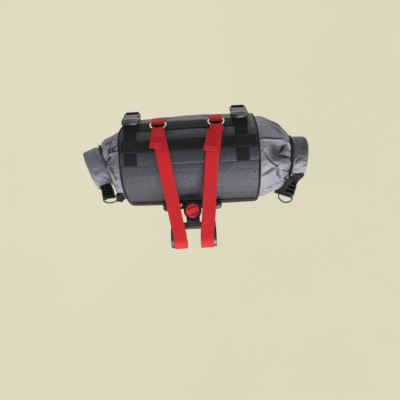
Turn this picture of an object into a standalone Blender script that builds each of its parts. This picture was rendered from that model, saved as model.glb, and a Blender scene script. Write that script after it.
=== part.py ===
# Bicycle handlebar bag: a dry bag rolled shut at both ends, in a harness that hangs on a handlebar bracket.
# The origin is on the handlebar's axis at the clamp. +X runs along the bar to the rider's right,
# +Y is forward and +Z is up. Angles run round the bag's own axis: 0 front, 90 top, 180 rear, 270 below.

import bpy
import numpy as np

# Driving sizes, in metres and degrees
GAP = 0.0003                  # between pieces that touch
BAR_DIAMETER = 0.0318         # the handlebar's clamp area

BAG_AHEAD = 0.1635            # the bag's axis ahead of the handlebar's
BAG_ABOVE = 0.002             # and above it
HARNESS_RADIUS = 0.0895       # outside of the panel at its middle
HARNESS_WIDTH = 0.264
HARNESS_TAPER = 0.0020        # radius gained from the middle to the right edge
HARNESS_CROWN = 0.0015        # how much fuller the middle is than both edges
PANEL_WALL = 0.0020
PANEL_FRONT = 44.0            # angle of the panel's front edge, binding included
PANEL_REAR = 262.0            # and of its edge below the bag
SEAM_ANGLE = 121.0            # where the upper panel is sewn to the lower one
BINDING_WIDTH = 0.0052
BINDING_WALL = 0.0029

WEBBING_WIDTH = 0.025
WEBBING_WALL = 0.0015
LOOP_WALL = 0.0012            # the thinner red webbing that holds a D-ring
ROW_FRONT = 60.0              # front edge of each sewn row, as an angle
ROW_REAR = 90.0
ROW_LOWER = 180.0

BUCKLE_LEFT = -0.110          # where each top buckle sits along the bag
BUCKLE_RIGHT = 0.0995
BUCKLE_ANGLE = 51.5
BUCKLE_LENGTH = 0.050
BUCKLE_WIDTH = 0.032
BUCKLE_WALL = 0.009
BUCKLE_STANDOFF = 0.0026      # from the panel to the buckle's back
BUCKLE_THIN = 0.0009          # how much thinner the tongue is on each face
BUCKLE_SLOT = 0.004
BUCKLE_BAR = 0.004            # the bar outside each slot
BUCKLE_ARM = 0.004            # width of each of the tongue's two arms beside the socket
BUCKLE_JOIN = -0.006          # where the tongue's body ends, from the buckle's middle
BUCKLE_SHOULDER = 0.003       # where its arms end
BUCKLE_CORNER = 0.0022
STRAP_GATHER = 0.86           # how far in the compression straps end, as a share of the buckle's place

RING_WIRE = 0.0030
RING_WIDTH = 0.0300           # between the wire's centres
RING_DEPTH = 0.0175           # from the straight bar to the curve
RING_BOW = 0.0030             # how far the curve bows over the webbing's width
RING_ANGLE = 72.5
RING_STANDOFF = 0.0056        # the ring's plane above the panel
RING_LEFT = -0.0565
RING_RIGHT = 0.0535
LOOP_START = 48.6             # angle where the red ring loops are sewn down

CLAMP_WALL = 0.0045
CLAMP_WIDTH = 0.014
CLAMP_SPREAD = 0.036          # each clamp ring's middle from the centre
YOKE_REACH = 0.0270           # the yoke's front face ahead of the bar's axis
YOKE_HEIGHT = 0.014
STRAP_AT_BAR = 0.0252         # each red strap's middle where it rounds the bar
STRAP_LAST = 257.0            # angle where the red straps end, sewn below the bag

KNOB_DIAMETER = 0.0255
KNOB_HEIGHT = 0.0095
KNOB_RECESS = 0.0040
KNOB_RIB = 0.0070
KNOB_LEAN = 22.0              # the knob's axis leans back from straight up
KNOB_RISE = 0.0150            # its seat above the bar's axis
KNOB_AHEAD = 0.0475           # and ahead of it
KNOB_TURN = 17.0              # the rib's turn, as the photo shows it
HOUSING_DIAMETER = 0.035
HOUSING_HEIGHT = 0.016
CROSSBAR_SPAN = 0.097         # between the middles of the two round ends
CROSSBAR_END = 0.018          # diameter of each round end
CROSSBAR_ROD = 0.012
CROSSBAR_RISE = 0.004
ARM_WIDTH = 0.026
ARM_HEIGHT = 0.011
SCREW_DIAMETER = 0.0055
SCREW_HEIGHT = 0.0022
SCREW_SPREAD = 0.0215

DRY_BAG_WALL = 0.0015
MOUTH_ARC = 0.035             # radius of the C that each mouth is bent into
MOUTH_FIRST = -16.0           # the C's ends, as angles
MOUTH_LAST = 196.0
MOUTH_HALF = 0.0026           # half the thickness of the pressed mouth
ROLL_WALL = 0.014
TUCK_START = 0.118            # where the dry bag starts to draw in, under the harness
END_RING_TAB = 0.012          # width of the webbing that holds each end ring
LADDER_WIDTH = 0.024
LADDER_SHIFT = 0.0035         # how far out along the ring's bar each ladder buckle sits
LADDER_WALL = 0.005
LADDER_SHARE = 0.52           # its length as a share of the way from the roll to the ring
LADDER_SLOTS = (-0.42, 0.30)  # each slot's middle and half its width, as shares of half the length
LADDER_SLOT = 0.22
LADDER_RAIL = 0.003           # the rail beside the slots
TAB_SPAN = 14.0               # how far round the roll each closure's webbing lies
END_RING_WIRE = 0.0030
END_RING_WIDTH = 0.0280
END_RING_DEPTH = 0.0180
END_RING_BOW = 0.0065

HALF_WIDTH = HARNESS_WIDTH / 2
BAR_RADIUS = BAR_DIAMETER / 2
CLAMP_OUTER = BAR_RADIUS + GAP / 2 + CLAMP_WALL
ROW_SPAN = np.degrees(WEBBING_WIDTH / HARNESS_RADIUS)
ON_PANEL = GAP + WEBBING_WALL / 2

# How wide the panel is at an angle, as shares of its half width
PANEL_EDGES = [
    # angle, left, right
    (44.0, 0.860, 0.965),
    (64.0, 0.975, 0.985),
    (112.0, 1.000, 1.000),
    (150.0, 0.992, 1.000),
    (201.0, 0.925, 0.985),
    (262.0, 0.870, 0.930),
]

# Each end of the dry bag, from the harness edge (0) to the mouth (1). The radius and the shift to the
# rear are shares of the harness radius, and squeeze goes from round (0) to the pressed C (1).
LEFT_SECTIONS = [
    # along, radius, shift, squeeze
    (0.00, 0.800, 0.020, 0.00),
    (0.25, 0.772, 0.060, 0.00),
    (0.50, 0.735, 0.100, 0.02),
    (0.75, 0.665, 0.110, 0.12),
    (0.90, 0.600, 0.100, 0.45),
    (1.00, 0.560, 0.090, 1.00),
]
RIGHT_SECTIONS = [
    # along, radius, shift, squeeze
    (0.00, 0.920, 0.000, 0.00),
    (0.20, 0.905, 0.000, 0.00),
    (0.43, 0.860, 0.000, 0.07),
    (0.73, 0.800, 0.010, 0.27),
    (0.90, 0.760, 0.020, 0.67),
    (1.00, 0.720, 0.030, 1.00),
]

# The folds and hollows of each end, as shares of the way along and angles round it.
# A positive depth, a share of the harness radius, presses in and a negative one stands out.
LEFT_FOLDS = [
    # along, angle, spread along, spread round, depth
    (0.45, 62.0, 0.35, 7.0, 0.060),
    (0.55, 84.0, 0.40, 8.0, -0.035),
    (0.50, 103.0, 0.40, 9.0, 0.085),
    (0.60, 128.0, 0.40, 10.0, -0.030),
    (0.70, 150.0, 0.30, 11.0, 0.050),
    (0.55, 212.0, 0.40, 14.0, 0.040),
    (0.60, 275.0, 0.40, 18.0, 0.060),
    (0.55, 20.0, 0.40, 12.0, 0.050),
]
RIGHT_FOLDS = [
    # along, angle, spread along, spread round, depth
    (0.60, 52.0, 0.30, 6.0, 0.045),
    (0.45, 85.0, 0.35, 4.0, 0.035),
    (0.72, 112.0, 0.20, 16.0, 0.110),
    (0.80, 152.0, 0.25, 9.0, 0.050),
    (0.55, 185.0, 0.35, 8.0, -0.025),
    (0.60, 225.0, 0.40, 14.0, 0.050),
    (0.65, 285.0, 0.40, 18.0, 0.060),
    (0.55, 15.0, 0.40, 12.0, 0.050),
]

# Each side's own places. inner and outer are the roll's faces beside the bag's axis, back is how far its C
# sits behind that axis, and slant is how much it leans outward for each metre forward. end_ring, end_ring_tip
# and anchor are (share of the way from harness to roll, angle, share of the harness radius), and ring_turn is
# the turn of the ring's bar seen from above.
LEFT = {
    "name": "left", "sign": -1, "inner": 0.172, "outer": 0.206, "slant": 0.40, "back": 0.0025,
    "sections": LEFT_SECTIONS, "folds": LEFT_FOLDS, "buckle": BUCKLE_LEFT, "ring": RING_LEFT,
    "tab_end": 102.0, "tab_shift": -0.0042, "red_leave": -0.0475, "red_end": -0.0465,
    "end_ring": (0.670, 168.5, 0.910), "end_ring_tip": (0.735, 181.5, 0.955), "ring_turn": 12.0,
    "tab_leaves": 168.0, "anchor": (0.070, 176.0, 0.940), "tab_above": False,
}
RIGHT = {
    "name": "right", "sign": 1, "inner": 0.2035, "outer": 0.2345, "slant": 0.06, "back": 0.0035,
    "sections": RIGHT_SECTIONS, "folds": RIGHT_FOLDS, "buckle": BUCKLE_RIGHT, "ring": RING_RIGHT,
    "tab_end": 109.0, "tab_shift": -0.0158, "red_leave": 0.0415, "red_end": 0.0420,
    "end_ring": (0.853, 203.0, 0.916), "end_ring_tip": (0.811, 208.4, 1.080), "ring_turn": -28.0,
    "tab_leaves": 186.0, "anchor": (0.690, 184.0, 0.800), "tab_above": True,
}
SIDES = (LEFT, RIGHT)


def clear_scene():
    for item in list(bpy.data.objects):
        bpy.data.objects.remove(item, do_unlink=True)


def material(name, colour, roughness, metallic=0.0):
    found = bpy.data.materials.get(name)
    if found:
        return found
    made = bpy.data.materials.new(name)
    made.use_nodes = True
    shader = made.node_tree.nodes["Principled BSDF"]
    shader.inputs["Base Color"].default_value = (*colour, 1.0)
    shader.inputs["Roughness"].default_value = roughness
    shader.inputs["Metallic"].default_value = metallic
    return made


def dry_bag_cloth():
    return material("grey coated nylon", (0.28, 0.28, 0.31), 0.55)


def harness_cloth():
    return material("black coated ripstop", (0.035, 0.036, 0.042), 0.50)


def black_webbing():
    return material("black nylon webbing", (0.012, 0.012, 0.014), 0.80)


def red_webbing():
    return material("red nylon webbing", (0.55, 0.018, 0.026), 0.70)


def black_plastic():
    return material("black acetal", (0.020, 0.020, 0.022), 0.35)


def red_plastic():
    return material("red nylon plastic", (0.62, 0.035, 0.055), 0.35)


def steel():
    return material("nickel-plated steel", (0.72, 0.71, 0.69), 0.22, 1.0)


def black_steel():
    return material("black-coated steel", (0.015, 0.015, 0.015), 0.40, 1.0)


def unit(v):
    return v / np.linalg.norm(v, axis=-1, keepdims=True)


def ease(t):
    t = np.clip(t, 0.0, 1.0)
    return t * t * (3.0 - 2.0 * t)


def read_table(table, at, column, key=0):
    rows = np.array(table, float)
    return np.interp(at, rows[:, key], rows[:, column])


def add_object(name, points, faces, finish, smooth=35.0):
    mesh = bpy.data.meshes.new(name)
    mesh.from_pydata([tuple(p) for p in points], [], faces)
    mesh.validate()
    mesh.shade_smooth()
    mesh.set_sharp_from_angle(angle=np.radians(smooth))
    mesh.materials.append(finish)
    item = bpy.data.objects.new(name, mesh)
    bpy.context.scene.collection.objects.link(item)
    return item


def outward(points, faces):
    # The faces turned over if together they enclose a negative volume
    volume = 0.0
    for face in faces:
        a = points[face[0]]
        for b, c in zip(face[1:-1], face[2:]):
            volume += np.dot(a, np.cross(points[b], points[c]))
    return faces if volume > 0 else [tuple(reversed(face)) for face in faces]


def loft(name, rings, finish, closed=False, smooth=35.0):
    # A skin through rings of as many points each, capped at both ends unless it closes on itself
    rings = np.asarray(rings, float)
    count, around = rings.shape[:2]
    points = rings.reshape(-1, 3)
    last = count if closed else count - 1
    faces = []
    for i in range(last):
        for j in range(around):
            low, high = i * around, (i + 1) % count * around
            k = (j + 1) % around
            faces.append((low + j, low + k, high + k, high + j))
    if not closed:
        faces.append(tuple(reversed(range(around))))
        faces.append(tuple(range((count - 1) * around, count * around)))
    return add_object(name, points, outward(points, faces), finish, smooth)


def shell(name, lower, upper, finish, closed=False):
    # A sheet between two grids of points, its first index along and its second across
    rings = np.concatenate([upper, np.asarray(lower)[:, ::-1]], axis=1)
    return loft(name, rings, finish, closed)


def harness_radius(x):
    share = np.asarray(x, float) / HALF_WIDTH
    return HARNESS_RADIUS + HARNESS_TAPER * share - HARNESS_CROWN * share ** 2


def on_bag(x, angle, height):
    # The point at x, at an angle round the bag's axis and a height above the panel's outside
    x, angle, height = np.broadcast_arrays(
        np.asarray(x, float), np.radians(angle), np.asarray(height, float))
    radius = harness_radius(np.clip(x, -HALF_WIDTH, HALF_WIDTH)) + height
    return np.stack([x, BAG_AHEAD + radius * np.cos(angle), BAG_ABOVE + radius * np.sin(angle)], -1)


def outward_at(angle):
    angle = np.radians(angle)
    zero = np.zeros_like(np.asarray(angle, float))
    return np.stack([zero, np.cos(angle), np.sin(angle)], -1)


def ribbon(name, path, normals, width, wall, finish, bow=None, across=None):
    # Webbing along a path, its flat side facing the normals unless the directions across it are given.
    # bow moves both edges, and what lies between them by the square of its distance from the middle.
    path = np.asarray(path, float)
    along = unit(np.gradient(path, axis=0))
    if across is None:
        across = unit(np.cross(along, unit(np.asarray(normals, float))))
    up = unit(np.cross(across, along)) * wall / 2
    shares = (-1.0, 1.0) if bow is None else (-1.0, -0.5, 0.0, 0.5, 1.0)
    line = []
    for share in shares:
        point = path + across * width / 2 * share
        line.append(point if bow is None else point + bow * share ** 2)
    rings = np.stack([p - up for p in line] + [p + up for p in reversed(line)], 1)
    return loft(name, rings, finish)


def panel_edge(angle, side):
    column = 1 if side["sign"] < 0 else 2
    return side["sign"] * HALF_WIDTH * read_table(PANEL_EDGES, angle, column)


def harness_panel():
    inset = np.degrees((BINDING_WIDTH + GAP) / HARNESS_RADIUS)
    angles = np.linspace(PANEL_FRONT + inset, PANEL_REAR - inset, 33)
    left = panel_edge(angles, LEFT) + BINDING_WIDTH + GAP
    right = panel_edge(angles, RIGHT) - BINDING_WIDTH - GAP
    share = np.linspace(0, 1, 5)
    x = left[:, None] + (right - left)[:, None] * share
    around = np.broadcast_to(angles[:, None], x.shape)
    shell("harness_panel", on_bag(x, around, -PANEL_WALL), on_bag(x, around, 0.0), harness_cloth())


def harness_binding():
    # One closed frame round the panel's edge, a little thicker than the panel
    inset = np.degrees(BINDING_WIDTH / HARNESS_RADIUS)
    angles = np.linspace(PANEL_FRONT, PANEL_REAR, 33)
    inner = np.linspace(PANEL_FRONT + inset, PANEL_REAR - inset, 33)
    share = np.linspace(0, 1, 5)[1:-1]
    outline = []
    for side, turn in ((RIGHT, 1), (LEFT, -1)):
        outer_x = panel_edge(angles, side)
        inner_x = panel_edge(inner, side) - side["sign"] * BINDING_WIDTH
        rows = list(zip(outer_x, angles, inner_x, inner))[::turn]
        outline += rows
        end, end_inner = (angles[-1], inner[-1]) if turn > 0 else (angles[0], inner[0])
        other = LEFT if side is RIGHT else RIGHT
        for t in share:
            outer = panel_edge(end, side) * (1 - t) + panel_edge(end, other) * t
            edges = [panel_edge(end_inner, s) - s["sign"] * BINDING_WIDTH for s in (side, other)]
            outline.append((outer, end, edges[0] * (1 - t) + edges[1] * t, end_inner))
    outline = np.array(outline)
    low, high = -PANEL_WALL, BINDING_WALL - PANEL_WALL
    rings = np.stack([
        on_bag(outline[:, 0], outline[:, 1], low), on_bag(outline[:, 0], outline[:, 1], high),
        on_bag(outline[:, 2], outline[:, 3], high), on_bag(outline[:, 2], outline[:, 3], low)], 1)
    loft("harness_binding", rings, black_webbing(), closed=True)


def sewn_row(name, first, x, height):
    # A band of webbing across the panel, from its front edge at the first angle
    angles = np.linspace(first, first + ROW_SPAN, 5)
    x, height = np.asarray(x)[:, None], np.asarray(height)[:, None]
    x = np.broadcast_to(x, (len(x), 5))
    lower = on_bag(x, angles, height)
    shell(name, lower, on_bag(x, angles, height + WEBBING_WALL), black_webbing())


def webbing_rows():
    half = WEBBING_WIDTH / 2
    step = 2 * GAP + half
    sewn_row("webbing_row_front", ROW_FRONT, np.linspace(BUCKLE_LEFT + step, BUCKLE_RIGHT - step, 9),
             np.full(9, GAP))
    ends = [panel_edge(ROW_REAR, s) - s["sign"] * (BINDING_WIDTH + 2 * GAP) for s in SIDES]
    ramp = 4 * WEBBING_WALL
    over = WEBBING_WALL + GAP
    x, height = [ends[0]], [GAP]
    for middle in (BUCKLE_LEFT, BUCKLE_RIGHT):
        for place, lift in ((-half - 2 * GAP - ramp, 0), (-half - 2 * GAP, over),
                            (half + 2 * GAP, over), (half + 2 * GAP + ramp, 0)):
            at = middle + place
            if ends[0] < at < ends[1]:
                x.append(at)
                height.append(GAP + lift)
    if height[1] > GAP:
        height[0] = height[1]
    x += [0.0, ends[1]]
    height += [GAP, GAP]
    order = np.argsort(x)
    sewn_row("webbing_row_rear", ROW_REAR, np.array(x)[order], np.array(height)[order])
    last = ROW_LOWER + ROW_SPAN
    ends = [panel_edge(last, s) - s["sign"] * (BINDING_WIDTH + 2 * GAP) for s in SIDES]
    sewn_row("webbing_row_lower", ROW_LOWER, np.linspace(ends[0], ends[1], 9), np.full(9, GAP))


def buckle_frame(side):
    # The buckle's middle, with its directions across, along (to the rear) and outward
    angle = np.radians(BUCKLE_ANGLE)
    standoff = BUCKLE_STANDOFF + BUCKLE_WALL / 2
    middle = on_bag(side["buckle"], BUCKLE_ANGLE, standoff)
    along = np.array([0.0, -np.sin(angle), np.cos(angle)])
    out = np.array([0.0, np.cos(angle), np.sin(angle)])
    return middle, np.array([1.0, 0.0, 0.0]), along, out


def plate(name, outline, frame, low, high, finish):
    # A flat outline (across, along) given a thickness between two heights
    middle, across, along, out = frame
    flat = [middle + u * across + v * along for u, v in outline]
    return loft(name, [[p + low * out for p in flat], [p + high * out for p in flat]], finish, smooth=25.0)


def mirrored(half):
    return [(u, v) for u, v in half] + [(-u, v) for u, v in reversed(half)]


def hidden(item):
    item.hide_render = True
    item.display_type = "WIRE"
    return item


def combine(item, other, operation):
    change = item.modifiers.new(operation.lower() + " " + other.name, "BOOLEAN")
    change.operation = operation
    change.object = hidden(other)
    change.solver = "EXACT"


def top_buckles():
    half, length = BUCKLE_WIDTH / 2, BUCKLE_LENGTH / 2
    waist = half - BUCKLE_ARM
    join, shoulder, corner = BUCKLE_JOIN, BUCKLE_SHOULDER, BUCKLE_CORNER
    slot = WEBBING_WIDTH / 2 + GAP
    for side in SIDES:
        frame = buckle_frame(side)
        face = BUCKLE_WALL / 2
        socket = plate("buckle_socket_" + side["name"], mirrored([
            (waist, join), (waist, shoulder), (half - corner / 2, shoulder), (half, shoulder + corner),
            (half, length - corner), (half - corner, length)]), frame, -face, face, black_plastic())
        tongue = plate("buckle_tongue_" + side["name"], mirrored([
            (half - corner, -length), (half, -length + corner), (half, -corner),
            (half - corner / 2, shoulder - GAP), (waist + GAP, shoulder - GAP),
            (waist + GAP, join - GAP)]), frame, BUCKLE_THIN - face, face - BUCKLE_THIN, black_plastic())
        for body, sign in ((socket, 1), (tongue, -1)):
            near, far = sign * (length - BUCKLE_BAR - BUCKLE_SLOT), sign * (length - BUCKLE_BAR)
            cutter = plate(body.name + "_slot", [(-slot, near), (slot, near), (slot, far), (-slot, far)],
                           frame, -BUCKLE_WALL, BUCKLE_WALL, black_plastic())
            combine(body, cutter, "DIFFERENCE")


def polar(point):
    # The angle round the bag's axis and the height above the panel of a point
    y, z = point[1] - BAG_AHEAD, point[2] - BAG_ABOVE
    return np.degrees(np.arctan2(z, y)) % 360, np.hypot(y, z) - harness_radius(point[0])


def behind_buckle(side, angles, thin):
    # The height of webbing that lies flat against the back of the buckle, at angles round the bag
    radius = harness_radius(side["buckle"])
    clear = radius + BUCKLE_STANDOFF + thin - ON_PANEL - GAP
    swing = np.clip(angles - BUCKLE_ANGLE, -35, 35)
    return clear / np.cos(np.radians(swing)) - radius


def buckle_end(sign):
    # The angle of the bar at the buckle's rear (1) or front (-1)
    reach = BUCKLE_LENGTH / 2 - BUCKLE_BAR / 2
    return BUCKLE_ANGLE + sign * np.degrees(np.arctan(reach / (HARNESS_RADIUS + BUCKLE_STANDOFF)))


def buckle_webbing():
    half = WEBBING_WIDTH / 2
    for side in SIDES:
        end = buckle_end(1)
        angles = np.concatenate([np.linspace(SEAM_ANGLE, end + 8, 10), [end + 4, end + 1.5, end, end - 1.5]])
        back = behind_buckle(side, angles, 0.0)
        ramp = np.interp(angles, [end + 1.5, end + 8], [back[-3], ON_PANEL])
        heights = np.minimum(back, ramp)
        x = side["buckle"] + np.array([-half, half])
        x = np.broadcast_to(x, (len(angles), 2))
        lower = on_bag(x, angles[:, None], heights[:, None] - WEBBING_WALL / 2)
        upper = on_bag(x, angles[:, None], heights[:, None] + WEBBING_WALL / 2)
        shell("buckle_webbing_" + side["name"], lower, upper, black_webbing())


def compression_straps():
    # From the buckle's front bar, down the bag's front and under it to the panel's edge
    half = WEBBING_WIDTH / 2
    lies = -PANEL_WALL + WEBBING_WALL / 2
    for side in SIDES:
        end = buckle_end(-1)
        last = PANEL_REAR - 360 + np.degrees(GAP / HARNESS_RADIUS)
        angles = np.concatenate([[end + 1.5, end, end - 1.5, end - 4], np.linspace(end - 12, last, 22)])
        back = behind_buckle(side, angles, BUCKLE_THIN)
        ramp = np.interp(-angles, [-end + 1.5, -end + 12], [back[2], lies])
        heights = np.minimum(back, ramp)
        middle = side["buckle"] * np.interp(-angles, [-end, -last], [1.0, STRAP_GATHER])
        x = middle[:, None] + np.array([-half, half])
        lower = on_bag(x, angles[:, None], heights[:, None] - WEBBING_WALL / 2)
        upper = on_bag(x, angles[:, None], heights[:, None] + WEBBING_WALL / 2)
        shell("compression_strap_" + side["name"], lower, upper, black_webbing())


def d_outline(width, depth, bow):
    # A D-ring's wire centre, its straight bar first: (across, along)
    half, corner = width / 2, 0.0020
    curve = [(half, corner * 1.6)]
    for u in np.linspace(WEBBING_WIDTH / 2, -WEBBING_WIDTH / 2, 7):
        curve.append((u, depth - bow * (2 * u / WEBBING_WIDTH) ** 2))
    curve.append((-half, corner * 1.6))
    shoulder = (half, depth - bow * 1.9)
    curve.insert(1, shoulder)
    curve.insert(-1, (-half, shoulder[1]))
    start = [(-half, corner), (-half + corner * 0.3, corner * 0.3), (-half + corner, 0.0)]
    return np.array(start + [(-u, v) for u, v in reversed(start)] + curve)


def wire_ring(name, outline, frame, wire, finish, sides=6):
    # A round wire along a flat closed outline
    origin, across, along, out = frame
    centre = origin + outline[:, :1] * across + outline[:, 1:] * along
    ahead = unit(np.roll(centre, -1, 0) - np.roll(centre, 1, 0))
    beside = unit(np.cross(ahead, out))
    turns = np.radians(np.arange(sides) * 360.0 / sides)
    rings = [centre + wire / 2 * (beside * np.cos(t) + out * np.sin(t)) for t in turns]
    return loft(name, np.stack(rings, 1), finish, closed=True, smooth=60.0)


def ring_frame(side):
    angle = np.radians(RING_ANGLE)
    along = np.array([0.0, -np.sin(angle), np.cos(angle)])
    out = np.array([0.0, np.cos(angle), np.sin(angle)])
    origin = on_bag(side["ring"], RING_ANGLE, RING_STANDOFF) - along * RING_DEPTH / 2
    return origin, np.array([1.0, 0.0, 0.0]), along, out


def steel_rings():
    for side in SIDES:
        wire_ring("d_ring_" + side["name"], d_outline(RING_WIDTH, RING_DEPTH, RING_BOW), ring_frame(side),
                  RING_WIRE, steel())


def half_turn(angle, steps):
    # Outward directions of a fold in the plane across the bag: from above a wire at an angle round the
    # bag, past the wire's front, to below it
    return outward_at(angle + np.linspace(0, -180, steps))


def ring_loops():
    # Red webbing sewn to the panel's front, round the D-ring's bar and back over itself
    reach = RING_WIRE / 2 + GAP + LOOP_WALL / 2
    start = 2 * GAP + LOOP_WALL / 2
    over_row = start + WEBBING_WALL + GAP
    lift = LOOP_WALL + GAP
    for side in SIDES:
        bar = ring_frame(side)[0]
        bar_angle, bar_height = polar(bar)
        low_a = np.array([LOOP_START, ROW_FRONT - 8.0, ROW_FRONT - 4.5, ROW_FRONT - 1.5])
        low_h = np.array([start, start, (start + over_row) / 2, over_row])
        high_a = np.array([bar_angle - 5.0, ROW_FRONT, ROW_FRONT - 4.0, ROW_FRONT - 8.0, LOOP_START])
        high_h = np.array([bar_height + reach - lift * 0.5, over_row + 1.6 * lift, over_row + lift * 0.75,
                           start + lift * 1.15, start + lift])
        fold_out = -half_turn(bar_angle, 7)
        path = np.concatenate([on_bag(bar[0], low_a, low_h), bar + reach * fold_out,
                               on_bag(bar[0], high_a, high_h)])
        normals = np.concatenate([-outward_at(low_a), fold_out, outward_at(high_a)])
        ribbon("ring_loop_" + side["name"], path, normals, WEBBING_WIDTH, LOOP_WALL, red_webbing())


def tangent_angle(near, far, side_sign):
    # The outward angle shared by the two circles on their common outer tangent: near is the bar's radius
    distance = np.hypot(BAG_AHEAD, BAG_ABOVE)
    tilt = np.degrees(np.arctan2(BAG_ABOVE, BAG_AHEAD))
    swing = np.degrees(np.arcsin((far - near) / distance))
    return 90 + tilt + swing if side_sign > 0 else 270 + tilt - swing


def red_straps():
    # From the tab's end, through the D-ring, over the bag to the bar, round it and back below the bag
    reach = RING_WIRE / 2 + 2 * GAP + WEBBING_WALL / 2
    bar_radius = CLAMP_OUTER + GAP + WEBBING_WALL / 2
    for side in SIDES:
        origin, _, along, _ = ring_frame(side)
        wire = origin + along * RING_DEPTH
        wire_angle, wire_height = polar(wire)
        low_height = wire_height - reach
        tab_height = low_height + WEBBING_WALL + GAP
        ring_x, bar_x = side["ring"], side["sign"] * STRAP_AT_BAR
        radius = harness_radius(side["red_leave"])
        leave = tangent_angle(bar_radius, radius + low_height, 1)
        join = tangent_angle(bar_radius, radius + ON_PANEL + GAP, -1)

        tab_angles = np.linspace(side["tab_end"], wire_angle + 9, 4)
        tab_x = np.interp(-tab_angles, [-side["tab_end"], -wire_angle], [ring_x + side["tab_shift"], ring_x])
        tab = on_bag(tab_x, tab_angles, tab_height)
        rise_angles = np.array([wire_angle + 5.5, wire_angle + 2.5])
        rise = on_bag(ring_x, rise_angles, wire_height + reach * np.array([0.45, 0.92]))
        fold_out = half_turn(wire_angle, 7)
        fold = wire + reach * fold_out
        low_angles = np.concatenate([[wire_angle + 2.5, wire_angle + 6], np.linspace(wire_angle + 10, leave, 6)])
        low = on_bag(np.interp(low_angles, [wire_angle, leave], [ring_x, side["red_leave"]]),
                     low_angles, low_height)
        bar_out = outward_at(np.linspace(leave, join, 11))
        bar = bar_radius * bar_out + np.array([bar_x, 0.0, 0.0])
        end_angles = np.linspace(join, STRAP_LAST, 3)
        end = on_bag(np.linspace(side["red_leave"], side["red_end"], 3), end_angles, ON_PANEL + GAP)

        half_way = (low[-1] + bar[0]) / 2, (bar[-1] + end[0]) / 2
        path = np.concatenate([tab, rise, fold, low, half_way[:1], bar, half_way[1:], end])
        normals = np.concatenate([
            outward_at(tab_angles), outward_at(rise_angles), fold_out, -outward_at(low_angles),
            -bar_out[:1], -bar_out, -bar_out[-1:], -outward_at(end_angles)])
        turns = np.array([polar(point)[0] for point in path])
        near = np.where(path[:, 1] > BAG_AHEAD - HARNESS_RADIUS / 2, 1 - ease((turns - wire_angle) / 12), 0.0)
        bow = -near[:, None] * RING_BOW * along
        ribbon("red_strap_" + side["name"], path, normals, WEBBING_WIDTH, WEBBING_WALL, red_webbing(), bow)


def turned(name, origin, axis, across, profile, finish, sides=28):
    # A solid turned about an axis, its profile given as (radius, height) from one flat end to the other
    beside = np.cross(axis, across)
    turns = np.radians(np.arange(sides) * 360.0 / sides)
    rings = []
    for radius, height in profile:
        rings.append([origin + axis * height + radius * (across * np.cos(t) + beside * np.sin(t)) for t in turns])
    return loft(name, rings, finish)


def box(name, low, high, finish):
    corners = [(low[0], low[1]), (high[0], low[1]), (high[0], high[1]), (low[0], high[1])]
    return loft(name, [[(x, y, z) for x, y in corners] for z in (low[2], high[2])], finish)


def bar_clamp():
    # Two rings on the handlebar, either side of the stem, joined by a yoke in front of it
    bore = BAR_RADIUS + GAP / 2
    yoke_back = bore + 0.0012
    half = CLAMP_WIDTH / 2
    edge = 0.0008
    outer = [(bore, -half), (CLAMP_OUTER - edge, -half), (CLAMP_OUTER, -half + edge),
             (CLAMP_OUTER, half - edge), (CLAMP_OUTER - edge, half), (bore, half)]
    reach = CLAMP_SPREAD + half
    body = box("bar_clamp", (-reach, yoke_back, -YOKE_HEIGHT / 2), (reach, YOKE_REACH, YOKE_HEIGHT / 2),
               black_plastic())
    for place in (-CLAMP_SPREAD, CLAMP_SPREAD):
        turns = np.radians(np.arange(24) * 360.0 / 24)
        rings = [[np.array([place + h, r * np.cos(t), r * np.sin(t)]) for r, h in outer] for t in turns]
        ring = loft("clamp_ring_shape", rings, black_plastic(), closed=True)
        combine(body, ring, "UNION")


def knob_frame():
    lean = np.radians(KNOB_LEAN)
    axis = np.array([0.0, -np.sin(lean), np.cos(lean)])
    seat = np.array([0.0, KNOB_AHEAD, KNOB_RISE])
    return seat, axis


def crossbar_middle():
    # The crossbar's round ends rest against the panel, apart from the gap
    radius = harness_radius(CROSSBAR_SPAN / 2) + WEBBING_WALL + 3 * GAP
    drop = CROSSBAR_RISE - BAG_ABOVE
    return BAG_AHEAD - np.sqrt(radius ** 2 - drop ** 2) - CROSSBAR_END / 2


def mount_bracket():
    seat, axis = knob_frame()
    x_axis = np.array([1.0, 0.0, 0.0])
    rim = HOUSING_DIAMETER / 2
    chamfer = 0.0015
    body = turned("mount_bracket", seat - axis * GAP, axis, x_axis, [
        (rim - chamfer, 0.0), (rim, -chamfer), (rim, -HOUSING_HEIGHT + chamfer),
        (rim - chamfer, -HOUSING_HEIGHT)], black_plastic())
    y = crossbar_middle()
    half = CROSSBAR_SPAN / 2
    rod, end = CROSSBAR_ROD / 2, CROSSBAR_END / 2
    taper = 0.006
    span = half + end
    profile = [(end * 0.45, -span), (end * 0.85, -span + 0.0025), (end, -half - 0.002), (end, -half + 0.004),
               (rod, -half + 0.004 + taper), (rod, half - 0.004 - taper), (end, half - 0.004),
               (end, half + 0.002), (end * 0.85, span - 0.0025), (end * 0.45, span)]
    middle = np.array([0.0, y, CROSSBAR_RISE])
    bar = turned("crossbar_shape", middle, x_axis, np.array([0.0, 1.0, 0.0]), profile, black_plastic(), sides=16)
    combine(body, bar, "UNION")
    arm = box("arm_shape", (-ARM_WIDTH / 2, YOKE_REACH + GAP, -ARM_HEIGHT / 2),
              (ARM_WIDTH / 2, y, ARM_HEIGHT / 2), black_plastic())
    combine(body, arm, "UNION")


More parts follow.
